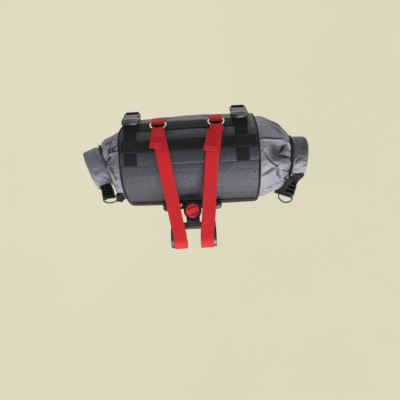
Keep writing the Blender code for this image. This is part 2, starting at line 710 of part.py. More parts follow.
def lock_knob():
    # A round cap with a finger recess on each side of a straight rib
    seat, axis = knob_frame()
    turn = np.radians(KNOB_TURN)
    side = np.cross(axis, np.array([1.0, 0.0, 0.0]))
    across = np.array([1.0, 0.0, 0.0]) * np.cos(turn) + side * np.sin(turn)
    rim, edge = KNOB_DIAMETER / 2, 0.0010
    body = turned("lock_knob", seat, axis, across, [
        (rim - edge, 0.0), (rim, edge), (rim, KNOB_HEIGHT - edge), (rim - edge, KNOB_HEIGHT)], red_plastic(), sides=36)
    beside = np.cross(axis, across)
    well = rim - 0.0022
    for sign in (-1, 1):
        first = np.arcsin(KNOB_RIB / 2 / well)
        outline = []
        for t in np.linspace(first, np.pi - first, 11):
            outline.append((well * np.cos(t), sign * well * np.sin(t)))
        frame = (seat, across, beside, axis)
        cutter = plate("knob_recess_shape", outline, frame, KNOB_HEIGHT - KNOB_RECESS, KNOB_HEIGHT * 1.5, red_plastic())
        combine(body, cutter, "DIFFERENCE")


def bracket_screws():
    y = crossbar_middle()
    up, x_axis = np.array([0.0, 0.0, 1.0]), np.array([1.0, 0.0, 0.0])
    head = SCREW_DIAMETER / 2
    for name, sign in (("left", -1), ("right", 1)):
        seat = np.array([sign * SCREW_SPREAD, y, CROSSBAR_RISE + CROSSBAR_ROD / 2 + GAP])
        turned("bracket_screw_" + name, seat, up, x_axis, [
            (head, 0.0), (head, SCREW_HEIGHT * 0.6), (head * 0.7, SCREW_HEIGHT)], steel(), sides=12)


def end_middle(side, squeeze, shift):
    # The section's centre: the harness axis moved to the rear, or the C's own centre once it is pressed
    back = shift * HARNESS_RADIUS * (1 - squeeze) + side["back"] * squeeze
    return BAG_AHEAD - back, BAG_ABOVE


def fold_depth(side, along, angle):
    depth = np.zeros_like(angle)
    for place, turn, reach, spread, share in side["folds"]:
        near = (angle - turn + 180) % 360 - 180
        depth += share * HARNESS_RADIUS * np.exp(-(near / spread) ** 2 - ((along - place) / reach) ** 2)
    return depth


def end_section(side, along, inset, around=36):
    # The dry bag's outline at a share of the way to the mouth, inset by its wall for the inner side
    angle = np.arange(around) * 360.0 / around
    radius = read_table(side["sections"], along, 1) * HARNESS_RADIUS - inset
    shift = read_table(side["sections"], along, 2)
    squeeze = read_table(side["sections"], along, 3)
    y0, z0 = end_middle(side, squeeze, shift)
    radius = radius - fold_depth(side, along, angle)
    turn = np.radians(angle)
    round_y, round_z = radius * np.cos(turn), radius * np.sin(turn)
    half = np.where(angle <= 180, angle / 180, (360 - angle) / 180)
    trim = np.degrees(inset / MOUTH_ARC)
    bend = np.radians(MOUTH_FIRST + trim + half * (MOUTH_LAST - MOUTH_FIRST - 2 * trim))
    layer = (MOUTH_HALF - inset) * np.clip(np.sin(turn) * 4, -1, 1)
    pressed_y = (MOUTH_ARC + layer) * np.cos(bend)
    pressed_z = (MOUTH_ARC + layer) * np.sin(bend)
    y = y0 + round_y * (1 - squeeze) + pressed_y * squeeze
    z = z0 + round_z * (1 - squeeze) + pressed_z * squeeze
    reach = side["inner"] - GAP - HALF_WIDTH
    out = HALF_WIDTH + along * reach + side["slant"] * along ** 2 * (y - y0)
    return np.stack([side["sign"] * out, y, z], -1)


def middle_section(x, inset, around=36):
    angle = np.arange(around) * 360.0 / around
    return on_bag(x, angle, -PANEL_WALL - GAP - inset)


def dry_bag():
    stations = (0.0, 0.12, 0.25, 0.38, 0.5, 0.62, 0.74, 0.84, 0.93, 1.0)
    sides = []
    for inset in (0.0, DRY_BAG_WALL):
        rings = [end_section(LEFT, s, inset) for s in reversed(stations)]
        rings += [middle_section(x, inset) for x in (-TUCK_START, 0.0, TUCK_START)]
        rings += [end_section(RIGHT, s, inset) for s in stations]
        sides.append(rings)
    loft("dry_bag", sides[0] + sides[1][::-1], dry_bag_cloth(), closed=True, smooth=50.0)


def roll_point(side, angle, radius, share):
    # A point on the rolled end: share goes from its inner face (0) to its outer one (1)
    turn = np.radians(angle)
    y = BAG_AHEAD - side["back"] + radius * np.cos(turn)
    z = BAG_ABOVE + radius * np.sin(turn)
    out = side["inner"] + (side["outer"] - side["inner"]) * share
    out = out + side["slant"] * (y - BAG_AHEAD + side["back"])
    y = y - side["slant"] * (side["outer"] - side["inner"]) * share
    return np.stack(np.broadcast_arrays(side["sign"] * out, y, z), -1)


def rolled_ends():
    section = []
    for turn in np.radians(np.arange(10) * 36.0 + 18.0):
        u, v = np.cos(turn), np.sin(turn)
        section.append((0.5 + 0.5 * np.sign(u) * abs(u) ** 0.55, np.sign(v) * abs(v) ** 0.55))
    for side in SIDES:
        angles = np.linspace(MOUTH_FIRST, MOUTH_LAST, 19)
        rings = []
        for index, angle in enumerate(angles):
            plump = 0.86 if index in (0, len(angles) - 1) else 1.0
            rings.append([roll_point(side, angle, MOUTH_ARC + plump * ROLL_WALL / 2 * v,
                                     0.5 + plump * (u - 0.5)) for u, v in section])
        loft("roll_" + side["name"], rings, dry_bag_cloth(), smooth=60.0)


def beside_bag(side, along, angle, share):
    # A point by its share of the way from the harness to the roll, its angle and its share of the radius
    reach = HALF_WIDTH + along * (side["inner"] - HALF_WIDTH)
    turn = np.radians(angle)
    return np.array([side["sign"] * reach, BAG_AHEAD + share * HARNESS_RADIUS * np.cos(turn),
                     BAG_ABOVE + share * HARNESS_RADIUS * np.sin(turn)])


def end_ring_frame(side):
    bar, tip = beside_bag(side, *side["end_ring"]), beside_bag(side, *side["end_ring_tip"])
    along = unit(tip - bar)
    turn = np.radians(side["ring_turn"])
    level = np.array([np.cos(turn), np.sin(turn), 0.0])
    across = unit(level - np.dot(level, along) * along)
    return bar, across, along, np.cross(across, along)


def closures():
    # Each rolled end is held back by webbing and a ladder buckle to a D-ring, which a tab holds to the bag
    clear = END_RING_WIRE / 2 + GAP
    for side in SIDES:
        frame = end_ring_frame(side)
        bar, across, along, _ = frame
        wire_ring("end_ring_" + side["name"], d_outline(END_RING_WIDTH, END_RING_DEPTH, END_RING_BOW),
                  frame, END_RING_WIRE, black_steel())

        angles = np.linspace(side["tab_leaves"] - TAB_SPAN, side["tab_leaves"], 4)
        roll_face = MOUTH_ARC + ROLL_WALL / 2
        on_roll = roll_point(side, angles, roll_face, 0.5)
        level = unit(roll_point(side, angles, roll_face, 1.0) - on_roll) * side["sign"]
        on_roll = on_roll + unit(np.cross(np.gradient(on_roll, axis=0), level)) * ON_PANEL
        pull = bar - on_roll[-1]
        heading = unit(pull - np.dot(pull, across) * across)
        reach = np.linalg.norm(pull) * LADDER_SHARE / 2
        normal = np.cross(heading, across)
        normal = normal * np.sign(normal[2])
        middle = bar - heading * (clear + reach) + side["sign"] * LADDER_SHIFT * across
        ends = [middle - heading * (reach + step) for step in (LADDER_WALL, GAP)]
        ribbon("closure_tab_" + side["name"], np.concatenate([on_roll, ends]), None, LADDER_WIDTH - 2 * GAP,
               WEBBING_WALL, black_webbing(), across=np.concatenate([level, [across, across]]))
        ladder(side, middle, reach, (across, heading, normal))

        anchor = beside_bag(side, *side["anchor"])
        inward = -side["sign"] * across
        if side["tab_above"]:
            seat = bar + inward * (END_RING_TAB / 2 + LADDER_WIDTH / 2 - LADDER_SHIFT + GAP) - along * clear
            lead = seat - along * LADDER_WALL
        else:
            seat = bar + inward * (END_RING_WIDTH / 2 + clear) + along * END_RING_DEPTH / 4
            lead = seat + inward * LADDER_WALL
        outer = anchor - np.array([anchor[0], BAG_AHEAD, BAG_ABOVE])
        face = frame[3] * np.sign(np.dot(frame[3], outer))
        ribbon("ring_tab_" + side["name"], [anchor, lead, seat], [outer, face, face], END_RING_TAB, WEBBING_WALL, black_webbing())


def ladder(side, middle, reach, directions):
    half, corner, slot = LADDER_WIDTH / 2, BUCKLE_CORNER, reach * LADDER_SLOT
    frame = (middle, *directions)
    body = plate("closure_buckle_" + side["name"], mirrored([
        (half - corner, -reach), (half, -reach + corner), (half, reach - corner), (half - corner, reach)]),
        frame, -LADDER_WALL / 2, LADDER_WALL / 2, black_plastic())
    inside = half - LADDER_RAIL
    for place in LADDER_SLOTS:
        near, far = reach * place - slot, reach * place + slot
        cutter = plate(body.name + "_slot", [(-inside, near), (inside, near), (inside, far), (-inside, far)],
                       frame, -LADDER_WALL, LADDER_WALL, black_plastic())
        combine(body, cutter, "DIFFERENCE")


def build():
    clear_scene()
    dry_bag()
    rolled_ends()
    harness_panel()
    harness_binding()
    webbing_rows()
    buckle_webbing()
    top_buckles()
    compression_straps()
    steel_rings()
    ring_loops()
    red_straps()
    bar_clamp()
    mount_bracket()
    lock_knob()
    bracket_screws()
    closures()


build()
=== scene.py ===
import bmesh
import bpy
import numpy as np
from mathutils import Matrix


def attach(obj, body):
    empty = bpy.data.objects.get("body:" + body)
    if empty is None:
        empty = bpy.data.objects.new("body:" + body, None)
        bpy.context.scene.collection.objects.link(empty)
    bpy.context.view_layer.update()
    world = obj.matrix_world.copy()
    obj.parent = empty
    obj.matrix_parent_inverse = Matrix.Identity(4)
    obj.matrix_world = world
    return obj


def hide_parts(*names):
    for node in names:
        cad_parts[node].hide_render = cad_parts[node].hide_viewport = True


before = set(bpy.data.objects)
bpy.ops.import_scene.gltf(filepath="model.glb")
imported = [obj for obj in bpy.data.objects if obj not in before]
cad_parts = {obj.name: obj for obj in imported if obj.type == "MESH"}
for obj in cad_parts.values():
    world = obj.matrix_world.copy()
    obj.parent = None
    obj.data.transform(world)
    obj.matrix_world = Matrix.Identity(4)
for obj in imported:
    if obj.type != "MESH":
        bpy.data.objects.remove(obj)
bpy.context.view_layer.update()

mm = 0.001
print("frame loaded, nodes:", len(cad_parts))

bag = {
    "ahead": 163.5 * mm,        # the bag's axis ahead of the handlebar's
    "above": 2.0 * mm,
    "radius": 89.5 * mm,        # outside of the harness panel at its middle
    "taper": 2.0 * mm,          # radius gained towards the right edge
    "crown": 1.5 * mm,          # radius lost at both edges
    "halfWidth": 132.0 * mm,
    "panelWall": 2.0 * mm,
    "gap": 0.3 * mm,
}
webbing = {
    "width": 25.0 * mm,
    "wall": 1.5 * mm,
    "rowAngle": 16.0,           # what the width of a band takes up round the bag
    "stitchPitch": 3.2 * mm,
    "stitchLength": 2.3 * mm,
    "stitchThick": 0.75 * mm,
    "gather": 0.86,             # how much nearer the middle the straps lie under the bag
}
onPanel = bag["gap"] + webbing["wall"] / 2


# Colours and nodes

def linearColour(text):
    # An sRGB hex colour turned to linear light by the sRGB curve
    parts = np.array([int(text[i:i + 2], 16) for i in (1, 3, 5)]) / 255
    linear = np.where(parts <= 0.04045, parts / 12.92, ((parts + 0.055) / 1.055) ** 2.4)
    return (*linear.tolist(), 1.0)


def addNode(tree, kind, output, inputs, **settings):
    # One node with its settings, which gives one of its outputs. An input that is another node's output
    # becomes a link, and a hex colour is turned to linear.
    node = tree.nodes.new("ShaderNode" + kind)
    for name, value in settings.items():
        setattr(node, name, value)
    for key, value in inputs.items():
        if isinstance(value, bpy.types.NodeSocket):
            tree.links.new(value, node.inputs[key])
        else:
            node.inputs[key].default_value = linearColour(value) if isinstance(value, str) else value
    return node.outputs[output]


def startMaterial(name, **sockets):
    # A material with its shader's own sockets set, which gives its node tree and shader
    made = bpy.data.materials.new(name)
    made.use_nodes = True
    shader = made.node_tree.nodes["Principled BSDF"]
    for key, value in sockets.items():
        shader.inputs[key.replace("_", " ")].default_value = value
    return made, made.node_tree, shader


def blend(tree, value, low, high, first, second):
    # Two colours blended by a 0 to 1 value, which is first spread between two shares
    share = addNode(tree, "MapRange", 0, {"Value": value, "To Min": low, "To Max": high})
    return addNode(tree, "Mix", 2, {0: share, 6: first, 7: second}, data_type="RGBA")


def finishSurface(tree, shader, colour, value, rough, heights):
    # Links the colour, the roughness, which a 0 to 1 value spreads between two numbers, and the bumps
    # (height, metres), laid one on another
    low, high = rough
    links = {"Base Color": colour,
             "Roughness": addNode(tree, "MapRange", 0, {"Value": value, "To Min": low, "To Max": high})}
    for height, depth in heights:
        below = {"Normal": links["Normal"]} if "Normal" in links else {}
        bump = {"Height": height, "Distance": depth, "Strength": 1.0, **below}
        links["Normal"] = addNode(tree, "Bump", 0, bump)
    for key, socket in links.items():
        tree.links.new(socket, shader.inputs[key])


def webbingMaterial(name, dark, light, rough):
    # Woven nylon webbing: lengthwise floats in staggered columns, matt with a soft sheen across the grain.
    # Its threads are near 0.6 mm; they are drawn 1.6 mm wide so that the weave shows.
    made, tree, shader = startMaterial(name, Sheen_Weight=0.05, Sheen_Roughness=0.45, IOR=1.53,
                                       Specular_IOR_Level=0.18)
    uv = addNode(tree, "TexCoord", "UV", {})
    turned = addNode(tree, "Mapping", 0, {"Vector": uv, "Rotation": (0.0, 0.0, np.pi / 2)})
    floats = addNode(tree, "TexBrick", "Fac", {
        "Vector": turned, "Scale": 1 / (3.2 * mm), "Brick Width": 1.0, "Row Height": 0.5, "Mortar Size": 0.09,
        "Mortar Smooth": 1.0}, offset=0.5)
    wear = addNode(tree, "TexNoise", "Fac", {"Vector": uv, "Scale": 1 / (9 * mm), "Detail": 4.0})
    fine = addNode(tree, "TexNoise", "Fac", {"Vector": uv, "Scale": 1 / (1.2 * mm), "Detail": 2.0})
    height = addNode(tree, "MapRange", 0, {"Value": floats, "To Min": 1.0, "To Max": 0.0})
    colour = blend(tree, floats, 0.0, 0.7, blend(tree, wear, 0.1, 0.9, dark, light), dark)
    finishSurface(tree, shader, colour, wear, rough, [(height, 0.45 * mm), (fine, 0.12 * mm)])
    return made


def ripstopMaterial():
    # Coated ripstop nylon: a smooth black film over a fine weave, with a raised grid of doubled threads
    # every 5 mm. The film gives it a broad soft gleam. The weave is drawn 1.2 mm wide so that it shows.
    made, tree, shader = startMaterial("coated ripstop nylon", Sheen_Weight=0.06, Sheen_Roughness=0.35,
                                       Specular_IOR_Level=0.75, Specular_Tint=(0.84, 0.88, 1.0, 1.0))
    uv = addNode(tree, "TexCoord", "UV", {})
    grid = addNode(tree, "TexBrick", "Fac", {
        "Vector": uv, "Scale": 1 / (5 * mm), "Brick Width": 1.0, "Row Height": 1.0, "Mortar Size": 0.07,
        "Mortar Smooth": 0.6}, offset=0.0)
    weave = addNode(tree, "TexBrick", "Fac", {
        "Vector": uv, "Scale": 1 / (1.2 * mm), "Brick Width": 1.0, "Row Height": 0.5, "Mortar Size": 0.12,
        "Mortar Smooth": 1.0}, offset=0.5)
    cloud = addNode(tree, "TexNoise", "Fac", {"Vector": uv, "Scale": 1 / (40 * mm), "Detail": 4.0})
    rumple = addNode(tree, "TexNoise", "Fac", {"Vector": uv, "Scale": 1 / (14 * mm), "Detail": 3.0})
    colour = blend(tree, grid, 0.0, 0.6, blend(tree, cloud, 0.0, 1.0, "#09090c", "#111216"), "#1e1f24")
    finishSurface(tree, shader, colour, cloud, (0.42, 0.54),
                  [(rumple, 1.2 * mm), (grid, 0.25 * mm), (weave, 0.08 * mm)])
    return made


def dryBagMaterial():
    # Nylon with a polyurethane coating: a grey film that shows the fine weave, wrinkles in small facets and
    # gleams softly on every ridge. Deep in a fold and on the rolls' upper sides an attribute darkens it as
    # painted shade.
    # Its weave is drawn 1.4 mm wide to show.
    made, tree, shader = startMaterial("coated nylon", Sheen_Weight=0.05, Sheen_Roughness=0.4,
                                       Specular_IOR_Level=0.55)
    uv, place = [addNode(tree, "TexCoord", output, {}) for output in ("UV", "Object")]
    weave = addNode(tree, "TexBrick", "Fac", {
        "Vector": uv, "Scale": 1 / (1.4 * mm), "Brick Width": 1.0, "Row Height": 0.5, "Mortar Size": 0.12,
        "Mortar Smooth": 1.0}, offset=0.5)
    cloud = addNode(tree, "TexNoise", "Fac", {"Vector": place, "Scale": 1 / (45 * mm), "Detail": 4.0})
    creases = addNode(tree, "TexNoise", "Fac", {
        "Vector": place, "Scale": 1 / (11 * mm), "Detail": 4.0, "Roughness": 0.6})
    paintedShadeMask = addNode(tree, "Attribute", "Fac", {}, attribute_name="paintedShadeMask")
    # Painted shade: the attribute blends the cloth towards #1d1c22 in folds and on the rolls' upper sides
    paintedShade = blend(tree, paintedShadeMask, 0.0, 1.0, blend(tree, cloud, 0.0, 1.0, "#64636c", "#7b7a85"), "#1d1c22")
    colour = blend(tree, weave, 0.0, 0.35, paintedShade, "#4f4e58")
    finishSurface(tree, shader, colour, cloud, (0.42, 0.60), [(creases, 1.6 * mm), (weave, 0.06 * mm)])
    return made


def plainMaterial(name, dark, light, cloud, share, rough, grain, **sockets):
    # A hard or fine surface: a cloud (size, detail, roughness) blends its two colours between two shares and
    # its roughness between two numbers, and a grain (size, detail, depth) stands on it
    made, tree, shader = startMaterial(name, **sockets)
    place = addNode(tree, "TexCoord", "Object", {})
    mottle = addNode(tree, "TexNoise", "Fac", {
        "Vector": place, "Scale": 1 / cloud[0], "Detail": cloud[1], "Roughness": cloud[2]})
    fine = addNode(tree, "TexNoise", "Fac", {"Vector": place, "Scale": 1 / grain[0], "Detail": grain[1]})
    colour = blend(tree, mottle, *share, dark, light)
    finishSurface(tree, shader, colour, mottle, rough, [(fine, grain[2])])
    return made


moulded = {"cloud": (12 * mm, 4.0, 0.5), "share": (0.1, 0.9), "Specular_IOR_Level": 0.5, "IOR": 1.48}
wire = {"cloud": (3 * mm, 6.0, 0.7), "share": (0.0, 1.0), "grain": (0.5 * mm, 2.0, 0.02 * mm)}
thread = {"cloud": (0.8 * mm, 1.0, 0.5), "share": (0.0, 1.0), "rough": (0.45, 0.65),
          "grain": (0.8 * mm, 1.0, 0.05 * mm), "Sheen_Weight": 0.1, "Specular_IOR_Level": 0.3}
finishes = {
    # Each with its slot
    "blackWebbing": (webbingMaterial("black nylon webbing", "#060607", "#0e0e10", (0.64, 0.80)),
                     "black_webbing"),
    "redWebbing": (webbingMaterial("red nylon webbing", "#a00e16", "#c41a24", (0.58, 0.74)), "red_webbing"),
    "ripstop": (ripstopMaterial(), "harness_cloth"),
    "coatedNylon": (dryBagMaterial(), "dry_bag_cloth"),
    # Moulded plastic, with a fine spark-eroded grain and a faint clouding from handling
    "blackPlastic": (plainMaterial("black acetal", "#0f0f11", "#1b1b1e", rough=(0.27, 0.43),
                                   grain=(0.9 * mm, 2.0, 0.05 * mm), **moulded), "black_plastic"),
    "redPlastic": (plainMaterial("red nylon plastic", "#c41526", "#d62235", rough=(0.23, 0.39),
                                 grain=(0.9 * mm, 2.0, 0.03 * mm), **moulded), "red_plastic"),
    # Plated or coated round wire, smooth, with fine scuffs where the webbing has rubbed
    "nickel": (plainMaterial("nickel-plated steel", "#c9c7c2", "#e6e4df", rough=(0.12, 0.32), Metallic=1.0,
                             **wire), "ring_steel"),
    "blackSteel": (plainMaterial("black-coated steel", "#1a1a1c", "#2b2b2d", rough=(0.30, 0.50), **wire),
                   "black_steel"),
    # Bonded nylon thread of two twisted plies, a little brighter than the webbing it holds
    "blackThread": (plainMaterial("black thread", "#17181a", "#26272a", **thread), "black_webbing"),
    "redThread": (plainMaterial("red thread", "#b01822", "#dd3a44", **thread), "red_webbing"),
}
print("materials made:", len(finishes))


# Shapes on the bag

def unit(vectors):
    # Each vector over its own length
    return vectors / np.linalg.norm(vectors, axis=-1, keepdims=True)


def ease(value):
    # Smooth step from 0 to 1
    value = np.clip(value, 0, 1)
    return value * value * (3 - 2 * value)


def smoothTable(table, at, column):
    # A table's column read anywhere, on a smooth cubic through its rows
    rows = np.array(table, float)
    key, value = rows[:, 0], rows[:, column]
    slope = np.gradient(value, key)
    at = np.clip(at, key[0], key[-1])
    i = np.clip(np.searchsorted(key, at) - 1, 0, len(key) - 2)
    span = key[i + 1] - key[i]
    t = (at - key[i]) / span
    near = (1 + 2 * t) * (1 - t) ** 2 * value[i] + t * (1 - t) ** 2 * span * slope[i]
    return near + t * t * (3 - 2 * t) * value[i + 1] + t * t * (t - 1) * span * slope[i + 1]


def runOf(points):
    # How far a line has come at each of its points
    return np.concatenate([[0], np.cumsum(np.linalg.norm(np.diff(points, axis=0), axis=1))])


def readAt(key, rows, where):
    # Rows of numbers, read between them at places on their key
    return np.stack([np.interp(where, key, column) for column in rows.T], -1)


def smoothPath(points, count, closed=False):
    # Points on a smooth cubic through the given ones, evenly spaced by their chords
    points = np.asarray(points, float)
    if closed:
        points = np.concatenate([points[-3:], points, points[:4]])
    key = runOf(points)
    first, last = (key[3], key[-4]) if closed else (key[0], key[-1])
    at = np.linspace(first, last, count, endpoint=not closed)
    return np.stack([smoothTable(np.stack([key, column], 1), at, 1) for column in points.T], 1)


def harnessRadius(x):
    # The panel's outside: its middle radius, more to the right by the taper, less at both edges by the crown
    share = np.clip(x / bag["halfWidth"], -1, 1)
    return bag["radius"] + bag["taper"] * share - bag["crown"] * share ** 2


def onBag(x, angle, height):
    # The place x along the bag, at an angle round its axis, a height above the panel's outside
    x, turn, height = np.broadcast_arrays(x, np.radians(angle), height)
    radius = harnessRadius(x) + height
    return np.stack([x, bag["ahead"] + radius * np.cos(turn), bag["above"] + radius * np.sin(turn)], -1)


def outwardAt(angle):
    # The outward direction at an angle round the bag
    turn = np.radians(np.asarray(angle, float))
    return np.stack([np.zeros_like(turn), np.cos(turn), np.sin(turn)], -1)


# Meshes

def gridShell(points, u=0.0, v=0.0, closed=False):
    # Quads between the neighbours of a grid of points, whose last column meets the first. The last row meets
    # the first too where the grid is closed, and otherwise caps close both. u and v have one more column, and
    # one more row where it is closed.
    rows, columns = points.shape[:2]
    uv = np.zeros((rows + closed, columns + 1, 2))
    uv[..., 0], uv[..., 1] = u, v
    i = np.arange(rows if closed else rows - 1)[:, None]
    j = np.arange(columns)[None, :]
    steps = ((0, 0), (0, 1), (1, 1), (1, 0))
    loops = np.stack([(i + a) % rows * columns + (j + b) % columns for a, b in steps], -1).reshape(-1)
    corners = np.stack([(i + a) * (columns + 1) + (j + b) for a, b in steps], -1).reshape(-1)
    sizes = np.full(len(loops) // 4, 4)
    if not closed:
        ring = np.arange(columns)
        loops = np.concatenate([loops, ring[::-1], (rows - 1) * columns + ring])
        corners = np.concatenate([corners, ring[::-1], (rows - 1) * (columns + 1) + ring])
        sizes = np.concatenate([sizes, [columns, columns]])
    return outwardShell(points.reshape(-1, 3), loops, sizes, uv.reshape(-1, 2)[corners])


def outwardShell(points, loops, sizes, uv):
    # A closed shell with its faces turned over if together they hold a negative volume
    starts = np.cumsum(sizes) - sizes
    following = np.arange(len(loops)) + 1
    following[starts + sizes - 1] = starts
    a, b, c = points[loops[np.repeat(starts, sizes)]], points[loops], points[loops[following]]
    if np.sum(a * np.cross(b, c)) < 0:
        loops, sizes, uv = loops[::-1], sizes[::-1], uv[::-1]
    return {"points": points, "loops": loops, "sizes": sizes, "uv": uv}


def finishPiece(name, mesh, finish, replaced, body="root"):
    # The mesh as a named object with its material, riding on a body
    material, slotName = finishes[finish]
    mesh.materials.append(material)
    piece = bpy.data.objects.new(name, mesh)
    bpy.context.scene.collection.objects.link(piece)
    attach(piece, body)
    if replaced:
        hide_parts(*replaced)
    return piece


def addPiece(name, shells, finish, replaced=(), body="root", sharp=50.0):
    # One object from shells of points, corners and face sizes
    points = np.concatenate([s["points"] for s in shells])
    base = np.cumsum([0] + [len(s["points"]) for s in shells[:-1]])
    loops = np.concatenate([s["loops"] + b for s, b in zip(shells, base)])
    sizes = np.concatenate([s["sizes"] for s in shells])
    mesh = bpy.data.meshes.new(name)
    mesh.vertices.add(len(points))
    mesh.vertices.foreach_set("co", points.astype(np.float32).ravel())
    mesh.loops.add(len(loops))
    mesh.loops.foreach_set("vertex_index", loops.astype(np.int32))
    mesh.polygons.add(len(sizes))
    mesh.polygons.foreach_set("loop_start", (np.cumsum(sizes) - sizes).astype(np.int32))
    mesh.update(calc_edges=True)
    uv = mesh.uv_layers.new(name="UVMap")
    uv.data.foreach_set("uv", np.concatenate([s["uv"] for s in shells]).astype(np.float32).ravel())
    mesh.validate()
    mesh.shade_smooth()
    mesh.set_sharp_from_angle(angle=np.radians(sharp))
    return finishPiece(name, mesh, finish, replaced, body)


def flatSection(width, wall, across, turn=5):
    # The outline of a flat band with round edges, as (across, height): underside, edge, top, edge
    flat = np.linspace(-1, 1, across) * (width - wall) / 2
    bend = np.radians(np.linspace(-90, 90, turn + 2)[1:-1])
    edge = (width - wall) / 2 + wall / 2 * np.cos(bend)
    rise = wall / 2 * np.sin(bend)
    u = np.concatenate([flat, edge, flat[::-1], -edge])
    v = np.concatenate([np.full(across, -wall / 2), rise, np.full(across, wall / 2), -rise])
    return u, v


def bandShell(place, along, width=webbing["width"], wall=webbing["wall"], across=7):
    # Webbing: the flat section carried along by place(along, across, height)
    u, v = flatSection(width, wall, across)
    along = np.asarray(along, float)
    run = runOf(place(along, np.zeros_like(along), np.zeros_like(along)))
    around = runOf(np.stack([np.append(u, u[0]), np.append(v, v[0])], 1))
    return gridShell(place(along[:, None], u, v), around, run[:, None])


def pathPlace(path, normals, bow=None):
    # A place(along, across, height) on a smooth path: across lies square to the path and its normals.
    # bow moves both edges, and what lies between them by the square of the distance from the middle.
    path, normals = np.asarray(path, float), unit(np.asarray(normals, float))
    ahead = unit(np.gradient(path, axis=0))
    beside = unit(np.cross(ahead, normals))
    up = np.cross(beside, ahead)
    steps = np.arange(len(path))

    def place(along, across, height):
        along, across, height = np.broadcast_arrays(along, across, height)

        point = readAt(steps, path, along) + readAt(steps, beside, along) * across[..., None]
        point = point + readAt(steps, up, along) * height[..., None]
        if bow is not None:
            point = point + readAt(steps, bow, along) * ((2 * across / webbing["width"]) ** 2)[..., None]
        return point

    return place


def stitches(place, along, across, height, pitch=webbing["stitchPitch"], length=webbing["stitchLength"]):
    # A row of stitches along a band, or across it where along stays the same: each is a spindle with five
    # sides that lies half sunk between two points of the row
    along, across, height = np.broadcast_arrays(np.asarray(along, float), across, height)
    line = place(along, across, height)
    above = place(along, across, height + mm) - line
    run = runOf(line)
    first = np.arange(pitch / 2, run[-1] - length, pitch)
    start, end = readAt(run, line, first), readAt(run, line, first + length)
    ahead = unit(end - start)
    beside = unit(np.cross(ahead, unit(readAt(run, above, first + length / 2))))
    up = np.cross(beside, ahead)
    turns = np.radians(np.arange(5) * 72.0)[:, None]
    spokes = beside[:, None] * np.cos(turns) + up[:, None] * 0.7 * np.sin(turns)
    rings = [(start + (end - start) * share)[:, None] + spokes * webbing["stitchThick"] / 2 * fat
             for share, fat in ((0.0, 0.35), (0.25, 1.0), (0.75, 1.0), (1.0, 0.35))]
    spindles = np.stack(rings, 1)
    one = gridShell(spindles[0])
    loops = (one["loops"] + np.arange(len(first))[:, None] * spindles[0].size // 3).reshape(-1)
    return {"points": spindles.reshape(-1, 3), "loops": loops, "sizes": np.tile(one["sizes"], len(first)),
            "uv": np.zeros((len(loops), 2))}


def finishedCopy(name, node, finish, bevel):
    # The frame's solid with its doubles merged, its flat faces joined and its edges rounded by the bevel
    work = bmesh.new()
    work.from_mesh(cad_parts[node].data)
    bmesh.ops.remove_doubles(work, verts=work.verts, dist=0.002 * mm)
    bmesh.ops.dissolve_limit(work, angle_limit=np.radians(0.5), verts=work.verts, edges=work.edges)
    bmesh.ops.recalc_face_normals(work, faces=work.faces)
    mesh = bpy.data.meshes.new(name)
    work.to_mesh(mesh)
    work.free()
    mesh.shade_smooth()
    change = finishPiece(name, mesh, finish, [node]).modifiers.new("rounded edges", "BEVEL")
    change.width = bevel
    change.segments = 3
    change.limit_method = "ANGLE"
    change.angle_limit = np.radians(30.0)
    change.harden_normals = True


# Camera, from above and behind the handlebar as the photo has it

camera = {
    "place": (15.287 * mm, -238.402 * mm, 775.135 * mm),
    "tilt": 68.0,               # degrees down from level
    "roll": 3.1,
    "lens": 37.9,               # mm on a sensor 36 mm wide
}


def standAt(item, place, right, up, back):
    # Puts a camera or a lamp at a place by its own three directions
    matrix = Matrix.Identity(4)
    for row in range(3):
        matrix[row] = (right[row], up[row], back[row], place[row])
    item.matrix_world = matrix
    bpy.context.scene.collection.objects.link(item)


def placeCamera():
    # Looks ahead and down by the tilt, rolled about its line of sight
    down, roll = np.radians(camera["tilt"]), np.radians(camera["roll"])
    sight = np.array([0, np.cos(down), -np.sin(down)])
    level = np.array([0, np.sin(down), np.cos(down)])
    right = np.cos(roll) * np.array([1.0, 0, 0]) - np.sin(roll) * level
    up = np.sin(roll) * np.array([1.0, 0, 0]) + np.cos(roll) * level
    lens = bpy.data.cameras.new("camera")
    lens.lens = camera["lens"]
    lens.sensor_width = 36.0
    lens.clip_start = 0.01
    item = bpy.data.objects.new("camera", lens)
    standAt(item, camera["place"], right, up, -sight)
    bpy.context.scene.camera = item


placeCamera()


# The dry bag

